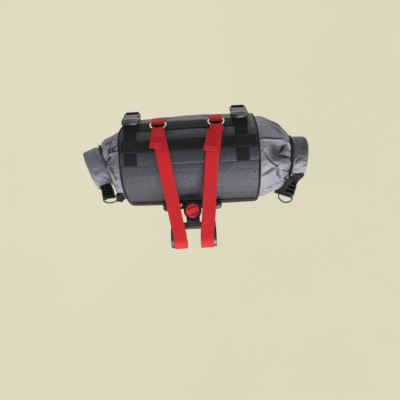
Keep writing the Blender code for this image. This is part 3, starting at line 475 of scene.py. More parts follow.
panelEdges = [
    # angle, left, right: the panel's width as shares of its half width
    (44.0, 0.860, 0.965), (64.0, 0.975, 0.985), (112.0, 1.000, 1.000),
    (150.0, 0.992, 1.000), (201.0, 0.925, 0.985), (262.0, 0.870, 0.930),
]
dryBag = {
    # darkestPaintedShade: the most that the ends' painted shade darkens the cloth
    "mouthRadius": 35.0 * mm, "mouthHalf": 2.6 * mm, "darkestPaintedShade": 0.92,
    "mouthFirst": -16.0, "mouthLast": 196.0, "tuck": 118.0 * mm, "rollWall": 14.0 * mm,
    "columns": 400, "endRows": 88, "middleRows": 45, "intoRoll": 5.0 * mm,
}
left = {
    "name": "left", "sign": -1, "inner": 172.0 * mm, "outer": 206.0 * mm, "slant": 0.40, "back": 2.5 * mm,
    # paintedShade: how dark the roll's upper side is painted, as painted shade
    "swell": 0.0, "paintedShade": 0.48,
    "buckle": -110.0 * mm, "ring": -56.5 * mm, "tabEnd": 102.0, "tabShift": -4.2 * mm,
    "redLeave": -47.5 * mm, "redEnd": -46.5 * mm,
    "sections": [
        # along, radius, shift, squeeze
        (0.00, 0.800, 0.020, 0.00), (0.25, 0.772, 0.060, 0.00), (0.50, 0.735, 0.100, 0.02),
        (0.75, 0.665, 0.110, 0.12), (0.88, 0.605, 0.100, 0.42), (0.96, 0.575, 0.094, 0.95),
        (1.00, 0.560, 0.090, 1.00),
    ],
    "folds": [
        # along, angle, spread along, spread round, depth as a share of the harness radius
        (0.45, 62.0, 0.35, 7.0, 0.060), (0.55, 84.0, 0.40, 8.0, -0.035), (0.50, 103.0, 0.40, 9.0, 0.085),
        (0.60, 128.0, 0.40, 10.0, -0.030), (0.70, 150.0, 0.30, 11.0, 0.050), (0.55, 212.0, 0.40, 14.0, 0.040),
        (0.60, 275.0, 0.40, 18.0, 0.060), (0.55, 20.0, 0.40, 12.0, 0.050),
    ],
    "creases": [
        # depth mm, width mm, lip mm, then (along, angle) points
        (5.5, 1.7, 1.6, [(0.60, 60), (0.74, 70), (0.87, 80)]),
        (6.5, 1.7, 2.0, [(0.48, 58), (0.48, 82), (0.57, 90), (0.74, 95)]),
        (5.0, 2.4, 1.0, [(0.12, 84), (0.30, 86), (0.50, 85)]),
        (4.5, 1.6, 1.6, [(0.10, 93), (0.34, 91), (0.56, 89)]),
        (3.6, 1.5, 1.2, [(0.06, 73), (0.22, 65), (0.40, 56)]),
        (6.0, 2.0, 1.5, [(0.52, 97), (0.66, 99), (0.84, 103)]),
        (5.0, 1.8, 2.0, [(0.86, 108), (0.60, 117), (0.46, 125), (0.30, 138)]),
        (3.4, 1.6, 1.2, [(0.62, 115), (0.42, 124), (0.22, 136)]),
        (3.6, 2.2, 1.4, [(0.95, 130), (0.70, 142), (0.30, 152)]),
        (3.4, 2.4, 1.4, [(0.98, 30), (0.60, 24), (0.20, 20)]),
        (3.8, 2.6, 1.6, [(0.98, 215), (0.55, 222), (0.20, 232)]),
        (3.4, 2.4, 1.4, [(0.95, 330), (0.60, 318), (0.25, 322)]),
        (3.4, 2.4, 1.4, [(0.98, 262), (0.50, 270), (0.22, 262)]),
    ],
    "pleats": [
        # depth mm, width mm, lip mm, then (share across the roll, angle) points
        (2.6, 2.2, 1.4, [(0.66, 118), (0.38, 139), (0.05, 163)]),
        (2.0, 1.6, 1.2, [(0.78, 165), (0.34, 174)]),
        (1.4, 2.2, 0.8, [(0.95, 128), (0.70, 148), (0.45, 160)]),
        (1.0, 2.6, 0.6, [(0.30, 70), (0.12, 105)]),
    ],
}
right = {
    "name": "right", "sign": 1, "inner": 203.5 * mm, "outer": 234.5 * mm, "slant": 0.06, "back": 3.5 * mm,
    # paintedShade: how dark the roll's upper side is painted, as painted shade
    "swell": 2.6 * mm, "paintedShade": 0.80,
    "buckle": 99.5 * mm, "ring": 53.5 * mm, "tabEnd": 109.0, "tabShift": -15.8 * mm,
    "redLeave": 41.5 * mm, "redEnd": 42.0 * mm,
    "sections": [
        # along, radius, shift, squeeze
        (0.00, 0.920, 0.000, 0.00), (0.20, 0.905, 0.000, 0.00), (0.43, 0.860, 0.000, 0.07),
        (0.73, 0.800, 0.010, 0.27), (0.89, 0.762, 0.020, 0.65), (0.96, 0.735, 0.026, 0.96),
        (1.00, 0.720, 0.030, 1.00),
    ],
    "folds": [
        # along, angle, spread along, spread round, depth as a share of the harness radius
        (0.60, 52.0, 0.30, 6.0, 0.045), (0.45, 85.0, 0.35, 4.0, 0.020), (0.54, 110.0, 0.27, 14.0, 0.165),
        (0.28, 126.0, 0.16, 8.0, -0.035),
        (0.80, 152.0, 0.25, 9.0, 0.050), (0.55, 185.0, 0.35, 8.0, -0.025), (0.60, 225.0, 0.40, 14.0, 0.050),
        (0.65, 285.0, 0.40, 18.0, 0.060), (0.55, 15.0, 0.40, 12.0, 0.050),
    ],
    "creases": [
        # depth mm, width mm, lip mm, then (along, angle) points
        (5.0, 1.6, 2.2, [(0.02, 92), (0.18, 92), (0.36, 91), (0.60, 88), (0.82, 84)]),
        (9.0, 2.0, 2.4, [(0.40, 66), (0.58, 74), (0.74, 77), (0.98, 77)]),
        (8.0, 2.8, 2.0, [(0.22, 55), (0.46, 61), (0.70, 64), (0.98, 65)]),
        (6.0, 3.2, 1.4, [(0.36, 44), (0.66, 47), (0.95, 50)]),
        (4.0, 2.0, 2.6, [(0.12, 112), (0.22, 121), (0.34, 127), (0.48, 132)]),
        (5.5, 2.8, 1.2, [(0.62, 116), (0.80, 118), (0.97, 117)]),
        (3.4, 1.6, 1.8, [(0.58, 111), (0.68, 102), (0.78, 94)]),
        (3.8, 1.7, 1.8, [(0.97, 106), (0.90, 99), (0.84, 92)]),
        (3.0, 2.2, 1.6, [(0.06, 142), (0.24, 139), (0.46, 133)]),
        (4.6, 3.2, 1.0, [(0.52, 136), (0.52, 144), (0.62, 154)]),
        (3.0, 2.0, 1.4, [(0.96, 150), (0.78, 146), (0.66, 140)]),
        (1.8, 1.3, 1.4, [(0.00, 169), (0.38, 168), (0.70, 165)]),
        (3.2, 2.4, 1.4, [(0.98, 28), (0.60, 22), (0.20, 18)]),
        (3.8, 2.6, 1.4, [(0.98, 214), (0.55, 222), (0.20, 228)]),
        (3.8, 2.6, 1.4, [(0.95, 318), (0.60, 300), (0.25, 310)]),
        (3.4, 2.6, 1.4, [(0.98, 262), (0.50, 268), (0.22, 258)]),
    ],
    "pleats": [
        # depth mm, width mm, lip mm, then (share across the roll, angle) points
        (2.2, 1.8, 1.2, [(0.56, 108), (0.32, 124), (0.05, 143)]),
        (1.8, 1.6, 1.2, [(0.10, 160), (0.48, 152), (0.95, 138)]),
        (1.6, 1.5, 1.2, [(0.12, 172), (0.55, 164), (0.90, 166)]),
        (1.0, 2.6, 0.6, [(0.85, 60), (0.60, 96)]),
    ],
}
sides = (left, right)


def endSurface(side, along, angle):
    # One end of the dry bag: a round section shrinks towards the mouth and is pressed by squeeze into a flat
    # C, less the broad folds, each a bell in along and angle
    radius = smoothTable(side["sections"], along, 1) * bag["radius"]
    shift = smoothTable(side["sections"], along, 2) * bag["radius"]
    squeeze = smoothTable(side["sections"], along, 3)
    middle = bag["ahead"] - shift * (1 - squeeze) - side["back"] * squeeze
    for place, turn, reach, wide, share in side["folds"]:
        near = (angle - turn + 180) % 360 - 180
        radius = radius - share * bag["radius"] * np.exp(-(near / wide) ** 2 - ((along - place) / reach) ** 2)
    turn = np.radians(angle)
    half = np.where(angle <= 180, angle / 180, (360 - angle) / 180)
    bend = np.radians(dryBag["mouthFirst"] + half * (dryBag["mouthLast"] - dryBag["mouthFirst"]))
    pressed = dryBag["mouthRadius"] + dryBag["mouthHalf"] * np.clip(np.sin(turn) * 4, -1, 1)
    y = middle + radius * np.cos(turn) * (1 - squeeze) + pressed * np.cos(bend) * squeeze
    z = bag["above"] + radius * np.sin(turn) * (1 - squeeze) + pressed * np.sin(bend) * squeeze
    reach = side["inner"] - bag["gap"] - bag["halfWidth"]
    x = bag["halfWidth"] + along * reach + side["slant"] * np.minimum(along, 1) ** 2 * (y - middle)
    return np.stack([side["sign"] * x, y, z], -1)


crease = {"valley": 2.0, "lip": 1.5, "lipAway": 1.7, "lipWide": 1.3, "blunt": 0.08, "fade": 0.4}


def creaseHeight(lines, x, y):
    # For each crease the distance to its polyline, all in metres on the cloth: a sharp valley at the line and
    # a lip on one side of it, both fading towards the line's ends
    height = np.zeros(np.broadcast(x, y).shape)
    for depth, width, lip, knots in lines:
        nearest = np.full(height.shape, 1.0)
        signed = np.zeros(height.shape)
        faded = np.zeros(height.shape)
        total = len(knots) - 1
        for k in range(total):
            px, py = x - knots[k][0], y - knots[k][1]
            qx, qy = knots[k + 1] - knots[k]
            t = np.clip((px * qx + py * qy) / (qx * qx + qy * qy), 0, 1)
            ox, oy = px - t * qx, py - t * qy
            away = np.hypot(ox, oy)
            closer = away < nearest
            nearest = np.where(closer, away, nearest)
            signed = np.where(closer, np.sign(qx * py - qy * px) * away, signed)
            faded = np.where(closer, (k + t) / total, faded)
        strength = np.sin(np.pi * np.clip(faded, 0.08, 0.92)) ** crease["fade"]
        valley = np.exp(-np.sqrt((nearest / (width * mm)) ** 2 + crease["blunt"]))
        ridge = np.exp(-((signed / (width * mm) - crease["lipAway"]) / crease["lipWide"]) ** 2)
        height += (crease["lip"] * lip * ridge - crease["valley"] * depth * valley) * mm * strength
    return height


def onCloth(lines, perShare, perDegree):
    # The lines' points, given as (share, angle), turned into metres on the cloth
    scale = np.array([perShare, perDegree])
    return [(depth, width, lip, np.array(points, float) * scale) for depth, width, lip, points in lines]


def gathers(side, along, angle):
    # Radial gathers that grow towards the mouth, and small wrinkles: sums of waves round and along the bag
    turn = np.radians(angle)
    deep = np.sin(13 * turn + 2.2 * np.sin(3 * turn + side["sign"]) + 1.5 * along)
    small = np.sin(29 * turn + 4 * along + 1.7 * np.sin(5 * turn)) * np.sin(7 * along + 3 * np.cos(2 * turn))
    fine = np.sin(47 * turn - 9 * along + 2 * np.sin(7 * turn)) * np.sin(15 * along + 4 * np.sin(3 * turn))
    fade = ease((1 - along) / 0.06)
    grow = ease(along / 0.8)
    return fade * mm * (0.9 * grow * deep + (0.3 + 0.5 * grow) * small + 0.28 * fine)


front = {
    # lengths in mm: the bare front's first and last angle and their easing, how proud it stands, its swell's
    # height, middle and reach, and its waves
    "first": 264.0, "last": 401.0, "soft": 14.0, "proud": 1.5, "swell": 2.6, "middle": -2.0, "reach": 62.0,
    "waves": 0.9, "strap": 17.0,
}


def frontRipple(x, angle):
    # The bare front of the bag stands a little proud between the straps and the harness's edges, with
    # slack folds across it
    inside = ease((angle - front["first"]) / front["soft"]) * ease((front["last"] - angle) / front["soft"])
    clear = np.ones(np.broadcast(x, angle).shape)
    for side in sides:
        strap = np.interp(angle, [262.0, 398.0], [webbing["gather"], 1.0]) * side["buckle"]
        clear = clear * (1 - np.exp(-((x - strap) / (front["strap"] * mm)) ** 4))
    turn = np.radians(angle)
    waves = np.sin(x / (9 * mm) + 2 * np.sin(4 * turn)) * np.sin(6 * turn + x / (31 * mm))
    swell = front["swell"] * np.exp(-((x / mm - front["middle"]) / front["reach"]) ** 4)
    within = ease((bag["halfWidth"] * 0.93 - abs(x)) / (20 * mm))
    return inside * clear * within * mm * (front["proud"] + swell + front["waves"] * waves)


def setPaintedShade(piece, depth):
    # Painted shade for the cloth's colour, 0 to 1 for each point: how dark it is painted in folds and on the
    # rolls' upper sides
    layer = piece.data.attributes.new("paintedShadeMask", "FLOAT", "POINT")
    layer.data.foreach_set("value", depth.astype(np.float32).ravel())


def raised(surface, height, side):
    # A surface moved along its normals, which are the cross product of its two directions
    along = np.gradient(surface, axis=0)
    around = np.roll(surface, -1, axis=1) - np.roll(surface, 1, axis=1)
    normal = unit(np.cross(along, around) * side["sign"])
    return surface + normal * height[..., None]


def makeEnd(side, angle):
    # The rows of one end, with its creases and gathers raised on it, and the painted shade of each point:
    # dark in the creases' valleys by their depth, and inside each fold that is deeper than the shallow ones
    reach = side["inner"] - bag["halfWidth"]
    perDegree = np.radians(bag["radius"] * 0.8)
    along = np.linspace(1 + dryBag["intoRoll"] / reach, 0, dryBag["endRows"])[:, None]
    height = creaseHeight(onCloth(side["creases"], reach, perDegree), along * reach, angle * perDegree)
    height = height * ease((1 - along) / 0.10) * ease((along + 0.05) / 0.12)
    paintedShadeMask = np.clip((-height - mm) / (3 * mm), 0, 1) * 0.8
    for place, turn, length, wide, share in side["folds"]:
        near = (angle - turn + 180) % 360 - 180
        bell = np.exp(-(near / wide) ** 4 - ((along - place) / length) ** 4)
        paintedShadeMask = paintedShadeMask + max(share - 0.06, 0.0) / 0.105 * bell
    height = height + gathers(side, along, angle)
    rows = raised(endSurface(side, along, angle), height, side)
    return rows, np.clip(paintedShadeMask * ease(along / 0.15), 0, dryBag["darkestPaintedShade"])


def between(first, last):
    # Four rows from one row to another, even along the bag and eased round it
    return [first + (last - first) * np.array([t, ease(t), ease(t)]) for t in (0.2, 0.4, 0.6, 0.8)]


def makeDryBag():
    # One skin from mouth to mouth, closed where each mouth goes into its roll. Rows go along, columns round.
    angle = (np.arange(dryBag["columns"]) * 360.0 / dryBag["columns"])[None, :]
    (leftRows, leftPaintedShade), (rightRows, rightPaintedShade) = [makeEnd(side, angle) for side in sides]
    sink = -bag["panelWall"] - bag["gap"]
    onward = np.where(angle < panelEdges[0][0], angle + 360, angle)
    middle = [onBag(x, angle, sink + frontRipple(x, onward))[0]
              for x in np.linspace(-dryBag["tuck"], dryBag["tuck"], dryBag["middleRows"])]
    points = np.array([*leftRows, *between(leftRows[-1], middle[0]), *middle,
                       *between(middle[-1], rightRows[-1]), *rightRows[::-1]])
    around = np.append(angle[0], 360.0) * np.radians(bag["radius"])
    shell = gridShell(points, around, points[:, :1, 0])
    piece = addPiece("dry_bag_skin", [shell], "coatedNylon", ["dry_bag"], sharp=80.0)
    # Painted shade at both ends, none in the middle
    depth = np.zeros(points.shape[:2])
    depth[:len(leftPaintedShade)] = leftPaintedShade
    depth[-len(rightPaintedShade):] = rightPaintedShade[::-1]
    setPaintedShade(piece, depth)


makeDryBag()
print("dry bag made")


# The rolled ends

roll = {
    "turns": 3.4, "sheet": 1.1 * mm, "rows": 130, "steps": 230, "square": 0.42, "start": 200.0,
    # pleatPaintedShade: how dark the pleats' valleys are painted, as painted shade
    "droop": 0.10, "proudest": 0.8 * mm, "pleatPaintedShade": 0.6,
}
tape = {"width": 8.0 * mm, "wall": 3.4 * mm, "sunk": 2.8 * mm, "inward": 1.8 * mm, "lift": 2.2 * mm}


def makeRoll(side):
    # A flattened spiral of cloth carried round the C of the mouth. The spiral's half width and half height
    # both grow with its angle, and each point is moved in and out by half the sheet for the two faces. Pleats
    # press into the outside, all layers by their share of the height.
    wide = (side["outer"] - side["inner"]) / 2
    high = dryBag["rollWall"] / 2
    share = np.linspace(0, 1, roll["steps"])
    turn = share * roll["turns"] * 2 * np.pi + np.radians(roll["start"])
    u, v = [np.sign(w) * abs(w) ** roll["square"] for w in (np.cos(turn), np.sin(turn))]
    spiral = np.stack([u * (wide - roll["sheet"]) * (0.70 + 0.30 * share),
                       v * (high - roll["sheet"]) * (0.20 + 0.80 * share)], 1)
    ahead = unit(np.gradient(spiral, axis=0))
    offset = np.stack([-ahead[:, 1], ahead[:, 0]], 1) * roll["sheet"] / 2
    section = np.concatenate([spiral + offset, (spiral - offset)[::-1]])
    across, rise = section[None, :, 0], section[None, :, 1]
    angle = np.linspace(dryBag["mouthFirst"], dryBag["mouthLast"], roll["rows"])[:, None]
    turn = np.radians(angle)
    arm = np.radians(dryBag["mouthRadius"] + high)
    pressed = creaseHeight(onCloth(side["pleats"], 2 * wide, arm), across + wide, angle * arm)
    rumple = np.sin(9 * turn + across / (6 * mm) + side["sign"]) + np.sin(23 * turn - across / (4 * mm))
    pressed = pressed + (0.25 + 0.35 * ease((angle - 120) / 40)) * mm * rumple
    outside = np.clip(rise / high, 0, 1)
    droop = 1 - roll["droop"] * (abs(angle - 90) / 106) ** 6
    radius = dryBag["mouthRadius"] + rise * droop + np.minimum(pressed, roll["proudest"]) * outside
    swell = side["swell"] * np.clip(across / wide, 0, 1) ** 2 * np.exp(-((angle - 78) / 45) ** 2)
    points = rollPoint(side, angle, radius, wide + across * droop + swell)
    run = runOf(np.concatenate([section, section[:1]]))
    shell = gridShell(points, run, turn * dryBag["mouthRadius"])
    piece = addPiece("rolled_mouth_" + side["name"], [shell], "coatedNylon", ["roll_" + side["name"]],
                     sharp=60.0)
    # Painted shade: the roll's upper side is painted darker, and so are the pleats' valleys on its outside
    paintedRollShade = side["paintedShade"] * (1 - ease((angle - 125) / 25))
    paintedRollShade = paintedRollShade + roll["pleatPaintedShade"] * np.clip(-pressed / (3 * mm), 0, 1) * outside
    setPaintedShade(piece, np.broadcast_to(paintedRollShade, points.shape[:2]))
    float(runOf(spiral)[-1])


def rollPoint(side, angle, radius, out):
    # The place at an angle round the mouth's C, at a radius from its axis, out from the roll's inner face
    turn = np.radians(angle)
    y = bag["ahead"] - side["back"] + radius * np.cos(turn)
    z = bag["above"] + radius * np.sin(turn)
    x = side["inner"] + out + side["slant"] * (y - bag["ahead"] + side["back"])
    y = y - side["slant"] * out
    return np.stack(np.broadcast_arrays(side["sign"] * x, y, z), -1)


def makeMouthTape(side):
    # The black tape along the mouth: its edge shows between the bag and the roll, and lifts behind
    face = dryBag["mouthRadius"] + dryBag["rollWall"] / 2 - tape["sunk"]

    def place(along, across, height):
        lift = tape["lift"] * ease((along - 105) / 30)
        return rollPoint(side, along, face + lift + across, height - tape["inward"])

    angle = np.linspace(dryBag["mouthFirst"] + 3, dryBag["mouthLast"] - 3, 100)
    addPiece("mouth_tape_" + side["name"], [bandShell(place, angle, tape["width"], tape["wall"], 5)],
             "blackWebbing")


for side in sides:
    makeRoll(side)
    makeMouthTape(side)
print("rolled ends made")


# The harness panel and its binding

panel = {
    "front": 44.0, "rear": 262.0, "seam": 121.0,
    "bindingWidth": 5.2 * mm, "bindingWall": 2.9 * mm,
    "rowFront": 60.0, "rowRear": 90.0, "rowLower": 180.0,
    "rows": 240, "columns": 150, "clothWidth": 254.0 * mm,
    "bare": [(46.0, 60.0), (77.0, 89.0), (107.0, 120.0), (122.5, 178.0), (197.5, 259.0)],
    "ridges": (113.0 * mm, 120.0 * mm), "underStraps": (-52.0 * mm, 47.0 * mm),
}


def panelEdge(angle, side):
    # How far the panel reaches along the bag at an angle
    return side["sign"] * bag["halfWidth"] * smoothTable(panelEdges, angle, 1 if side is left else 2)


def panelPucker(x, angle):
    # Where nothing lies on it the panel stands up to 0.7 mm proud in long soft ripples, and it is drawn in at
    # the seam, where the upper cloth steps down to the lower. Two ridges show what lies under its right end.
    free = np.zeros(np.broadcast(x, angle).shape)
    for low, high in panel["bare"]:
        free = free + ease((angle - low) / 4) * ease((high - angle) / 4)
    turn = np.radians(angle)
    ripple = np.sin(9 * turn + x / (60 * mm)) * 0.5 + np.sin(x / (11 * mm) + 4 * turn) * 0.3
    ripple = ripple + np.sin(x / (4.3 * mm) + 9 * turn) * np.sin(14 * turn + x / (20 * mm)) * 0.25
    seam = angle - panel["seam"]
    step = 0.75 * mm * ease(-seam / 0.4) - 0.6 * mm * np.exp(-((seam - 0.5) / 0.6) ** 2)
    step = step + 0.5 * mm * np.exp(-((seam - 1.7) / 0.5) ** 2)
    for place in panel["ridges"]:
        step = step + 0.55 * mm * np.exp(-((x - place) / (0.8 * mm)) ** 2) * ease(-seam / 2)
    over = np.zeros_like(free)
    for place in panel["underStraps"]:
        over = over + np.exp(-((x - place) / (19 * mm)) ** 4)
    calm = 1 - np.clip(over, 0, 1)
    return np.clip(0.45 + 0.45 * ripple, -0.2, 0.9) * mm * free * calm * 0.8 + step * calm


def makePanel():
    # A grid from edge to edge with an upper and an under face, joined all round
    hidden = panel["bindingWidth"] * 0.6
    inset = np.degrees(hidden / bag["radius"])
    angle = np.linspace(panel["front"] + inset, panel["rear"] - inset, panel["rows"])[:, None]
    share = np.linspace(0, 1, panel["columns"])[None, :]
    ends = [panelEdge(angle, side) - side["sign"] * hidden for side in sides]
    x = ends[0] + (ends[1] - ends[0]) * share
    upper = onBag(x, angle, panelPucker(x, angle))
    under = onBag(x, angle, -bag["panelWall"])
    points = np.concatenate([upper, under[:, ::-1]], 1)
    columns = np.concatenate([x, x[:, ::-1], x[:, :1]], 1)
    shell = gridShell(points, columns, np.radians(angle) * bag["radius"])
    piece = addPiece("harness_cloth", [shell], "ripstop", ["harness_panel"], sharp=60.0)


def makeBinding():
    # Grosgrain folded over the panel's edge: a round-shouldered section carried round the whole outline
    half = panel["bindingWidth"] / 2
    inset = np.degrees(half / bag["radius"])
    angle = np.linspace(panel["front"] + inset, panel["rear"] - inset, 110)
    rows = []
    for side, turn in ((right, 1), (left, -1)):
        x = panelEdge(angle, side) - side["sign"] * half
        rows.append(np.stack([x, angle], 1)[::turn])
        other = left if side is right else right
        at = angle[-1] if turn > 0 else angle[0]
        ends = [panelEdge(at, s) - s["sign"] * half for s in (side, other)]
        share = np.linspace(0, 1, 72)[1:-1]
        rows.append(np.stack([ends[0] + (ends[1] - ends[0]) * share, np.full(70, at)], 1))
    line = np.concatenate(rows)
    for _ in range(2):
        line = (np.roll(line, 1, 0) + 2 * line + np.roll(line, -1, 0)) / 4
    scale = np.array([1.0, np.radians(bag["radius"])])
    ahead = unit((np.roll(line, -1, 0) - np.roll(line, 1, 0)) * scale)
    beside = np.stack([ahead[:, 1], -ahead[:, 0]], 1) / scale
    u, v = flatSection(panel["bindingWidth"], panel["bindingWall"], 7)
    middle = panel["bindingWall"] / 2 - bag["panelWall"]
    x = line[:, :1] + beside[:, :1] * u
    turn = line[:, 1:] + beside[:, 1:] * u
    points = onBag(x, turn, middle + v)
    loop = np.concatenate([line, line[:1]])
    run = runOf(loop * scale)
    around = np.append(np.cumsum(np.hypot(np.diff(u, prepend=u[0]), np.diff(v, prepend=v[0]))), 14 * mm)
    shell = gridShell(points, around, run[:, None], closed=True)
    addPiece("edge_binding", [shell], "blackWebbing", ["harness_binding"], sharp=60.0)
    steps = np.arange(len(loop))

    def place(along, across, height):
        x, turn = np.interp(along, steps, loop[:, 0]), np.interp(along, steps, loop[:, 1])
        return onBag(x, turn, height + across * 0)

    sewn = stitches(place, steps, 0.0, panel["bindingWall"] - bag["panelWall"], pitch=3.4 * mm)
    addPiece("binding_stitches", [sewn], "blackThread")


makePanel()
makeBinding()
print("harness panel and binding made")


# Webbing sewn across the panel

def rowPlace(first, heightAt):
    # place(along, across, height) for a band that runs along the bag with its front edge at an angle
    middle = first + webbing["rowAngle"] / 2

    def place(along, across, height):
        angle = middle + np.degrees(across / bag["radius"])
        return onBag(along, angle, heightAt(along) + webbing["wall"] / 2 + height)

    return place


def buckleHump(x):
    # The rear row climbs over both upright bands
    lift = webbing["wall"] + bag["gap"]
    over = np.zeros_like(np.asarray(x, float))
    for side in sides:
        near = abs(x - side["buckle"]) - webbing["width"] / 2 - 0.6 * mm
        over = np.maximum(over, ease(1 - near / (5 * mm)))
    return bag["gap"] + lift * over


def sewBox(place, low, high, half, height):
    # A box of stitches with its diagonals, sewn through a band between two places along it
    shells = []
    line = np.linspace(0, 1, 24)
    for a, b, c, d in ((low, high, -half, -half), (low, high, half, half), (low, low, -half, half),
                       (high, high, -half, half), (low, high, -half, half), (low, high, half, -half)):
        shells.append(stitches(place, a + (b - a) * line, c + (d - c) * line, height))
    return shells


def makeRows():
    # Three bands that run along the bag, each a flat section at a height over the panel, with a row of
    # stitches inside each edge. The rear one is sewn in boxes over the upright bands, and the front one
    # beside the rings.
    flat = bag["gap"]
    toEdge = panel["bindingWidth"] + 0.6 * mm
    lines = {
        # first angle, the angle whose edges bound the row, or none from buckle to buckle, and its height
        "front": (panel["rowFront"], None, lambda x: flat + 0 * x),
        "rear": (panel["rowRear"], panel["rowRear"] + webbing["rowAngle"] * 0.5, buckleHump),
        "lower": (panel["rowLower"], panel["rowLower"] + webbing["rowAngle"], lambda x: flat + 0 * x),
    }
    sewn = []
    top = webbing["wall"] / 2
    half = webbing["width"] / 2 - 2.4 * mm
    for name, (first, bounds, heightAt) in lines.items():
        if bounds is None:
            low, high = left["buckle"] + 13 * mm, right["buckle"] - 13 * mm
        else:
            low, high = [panelEdge(bounds, side) - side["sign"] * toEdge for side in sides]
        place = rowPlace(first, heightAt)
        shell = bandShell(place, np.linspace(low, high, 160), across=11)
        addPiece("webbing_" + name, [shell], "blackWebbing", ["webbing_row_" + name])
        along = np.linspace(low + 2 * mm, high - 2 * mm, 200)
        for edge in (-1, 1):
            sewn.append(stitches(place, along, edge * (webbing["width"] / 2 - 2.2 * mm), top))
        if name == "rear":
            for side in sides:
                boxStart = max(side["buckle"] - half, along[0])
                sewn += sewBox(place, boxStart, side["buckle"] + half, half, top)
        if name == "front":
            across = np.linspace(-11 * mm, 11 * mm, 30)
            for x in [side["ring"] + step for side in sides for step in (-16.5 * mm, 16.5 * mm)]:
                sewn.append(stitches(place, np.full(30, x), across, top, pitch=1.5 * mm, length=1.4 * mm))
    addPiece("row_stitches", sewn, "blackThread")


makeRows()
print("webbing rows made")


# Buckles, their webbing and the compression straps

buckle = {
    "angle": 51.5, "length": 50.0 * mm, "width": 32.0 * mm, "wall": 9.0 * mm, "standoff": 2.6 * mm,
    "thin": 0.9 * mm, "slot": 4.0 * mm, "bar": 4.0 * mm,
}


def behindBuckle(side, angle, thin):
    # The height of webbing pressed flat against the buckle's back, which is a plane
    radius = harnessRadius(side["buckle"])
    clear = radius + buckle["standoff"] + thin - onPanel - bag["gap"]
    swing = np.clip(angle - buckle["angle"], -35, 35)
    return clear / np.cos(np.radians(swing)) - radius


def buckleEnd(sign):
    # The angle round the bag of the middle of a buckle's bar
    reach = buckle["length"] / 2 - buckle["bar"] / 2
    return buckle["angle"] + sign * np.degrees(np.arctan(reach / (bag["radius"] + buckle["standoff"])))


def makeBuckleStraps(side):
    # Behind the buckle the upright band goes down to the seam, and ahead of it the strap goes round under the
    # bag. Both lie on the bag, but no higher than the buckle's back and the way to its bars let them.
    rear, fore = buckleEnd(1), buckleEnd(-1)
    rearBack = behindBuckle(side, rear + 1.5, 0.0)
    foreBack = behindBuckle(side, fore - 1.5, buckle["thin"])
    lies = -bag["panelWall"] + webbing["wall"] / 2
    last = panel["rear"] - 360 + np.degrees(bag["gap"] / bag["radius"])

    def rearPlace(along, across, height):
        lift = np.interp(along, [rear + 1.5, rear + 8], [rearBack, onPanel])
        lift = np.minimum(behindBuckle(side, along, 0.0), lift)
        return onBag(side["buckle"] + across, along, lift + height)

    def forePlace(along, across, height):
        lift = np.interp(along, [-fore + 1.5, -fore + 12], [foreBack, lies])
        lift = np.minimum(behindBuckle(side, -along, buckle["thin"]), lift)
        middle = side["buckle"] * np.interp(along, [-fore, -last], [1.0, webbing["gather"]])
        return onBag(middle + across, -along, lift + height)

    upright = bandShell(rearPlace, np.linspace(panel["seam"], rear - 1.5, 90))
    addPiece("buckle_band_" + side["name"], [upright], "blackWebbing", ["buckle_webbing_" + side["name"]])
    strap = bandShell(forePlace, np.linspace(-fore - 1.5, -last, 160))
    addPiece("compression_band_" + side["name"], [strap], "blackWebbing",
             ["compression_strap_" + side["name"]])
    sewn = [stitches(rearPlace, np.linspace(119.5, 107.5, 40), edge * 10.3 * mm, webbing["wall"] / 2)
            for edge in (-1, 1)]
    addPiece("buckle_stitches_" + side["name"], sewn, "blackThread")


def plateShell(outline, frameOf, low, high, edge=0.9 * mm):
    # A flat plate from its outline (across, along), whose rims are rounded by a quarter circle of four steps:
    # each step insets the outline along its corners' own directions
    outline = np.asarray(outline, float)
    before, after = outline - np.roll(outline, 1, 0), np.roll(outline, -1, 0) - outline
    normals = [np.stack([v[:, 1], -v[:, 0]], 1) / np.linalg.norm(v, axis=1)[:, None] for v in (before, after)]
    corner = normals[0] + normals[1]
    corner = corner / (0.5 * np.sum(corner * corner, axis=1, keepdims=True))
    area = np.sum(outline[:, 0] * np.roll(outline[:, 1], -1) - np.roll(outline[:, 0], -1) * outline[:, 1])
    corner = corner * np.sign(area)
    middle, across, along, out = frameOf
    rings = []
    bend = np.radians(np.linspace(0, 90, 4))
    lower = zip(1 - np.sin(bend), low + edge * (1 - np.cos(bend)))
    upper = zip(1 - np.cos(bend), high - edge * (1 - np.sin(bend)))
    for inset, height in [*lower, *upper]:
        flat = outline - corner * edge * inset
        rings.append(middle + flat[:, :1] * across + flat[:, 1:] * along + out * height)
    return gridShell(np.array(rings))


def bothSides(half):
    # A half outline and its mirror image
    return half + [(-u, v) for u, v in reversed(half)]


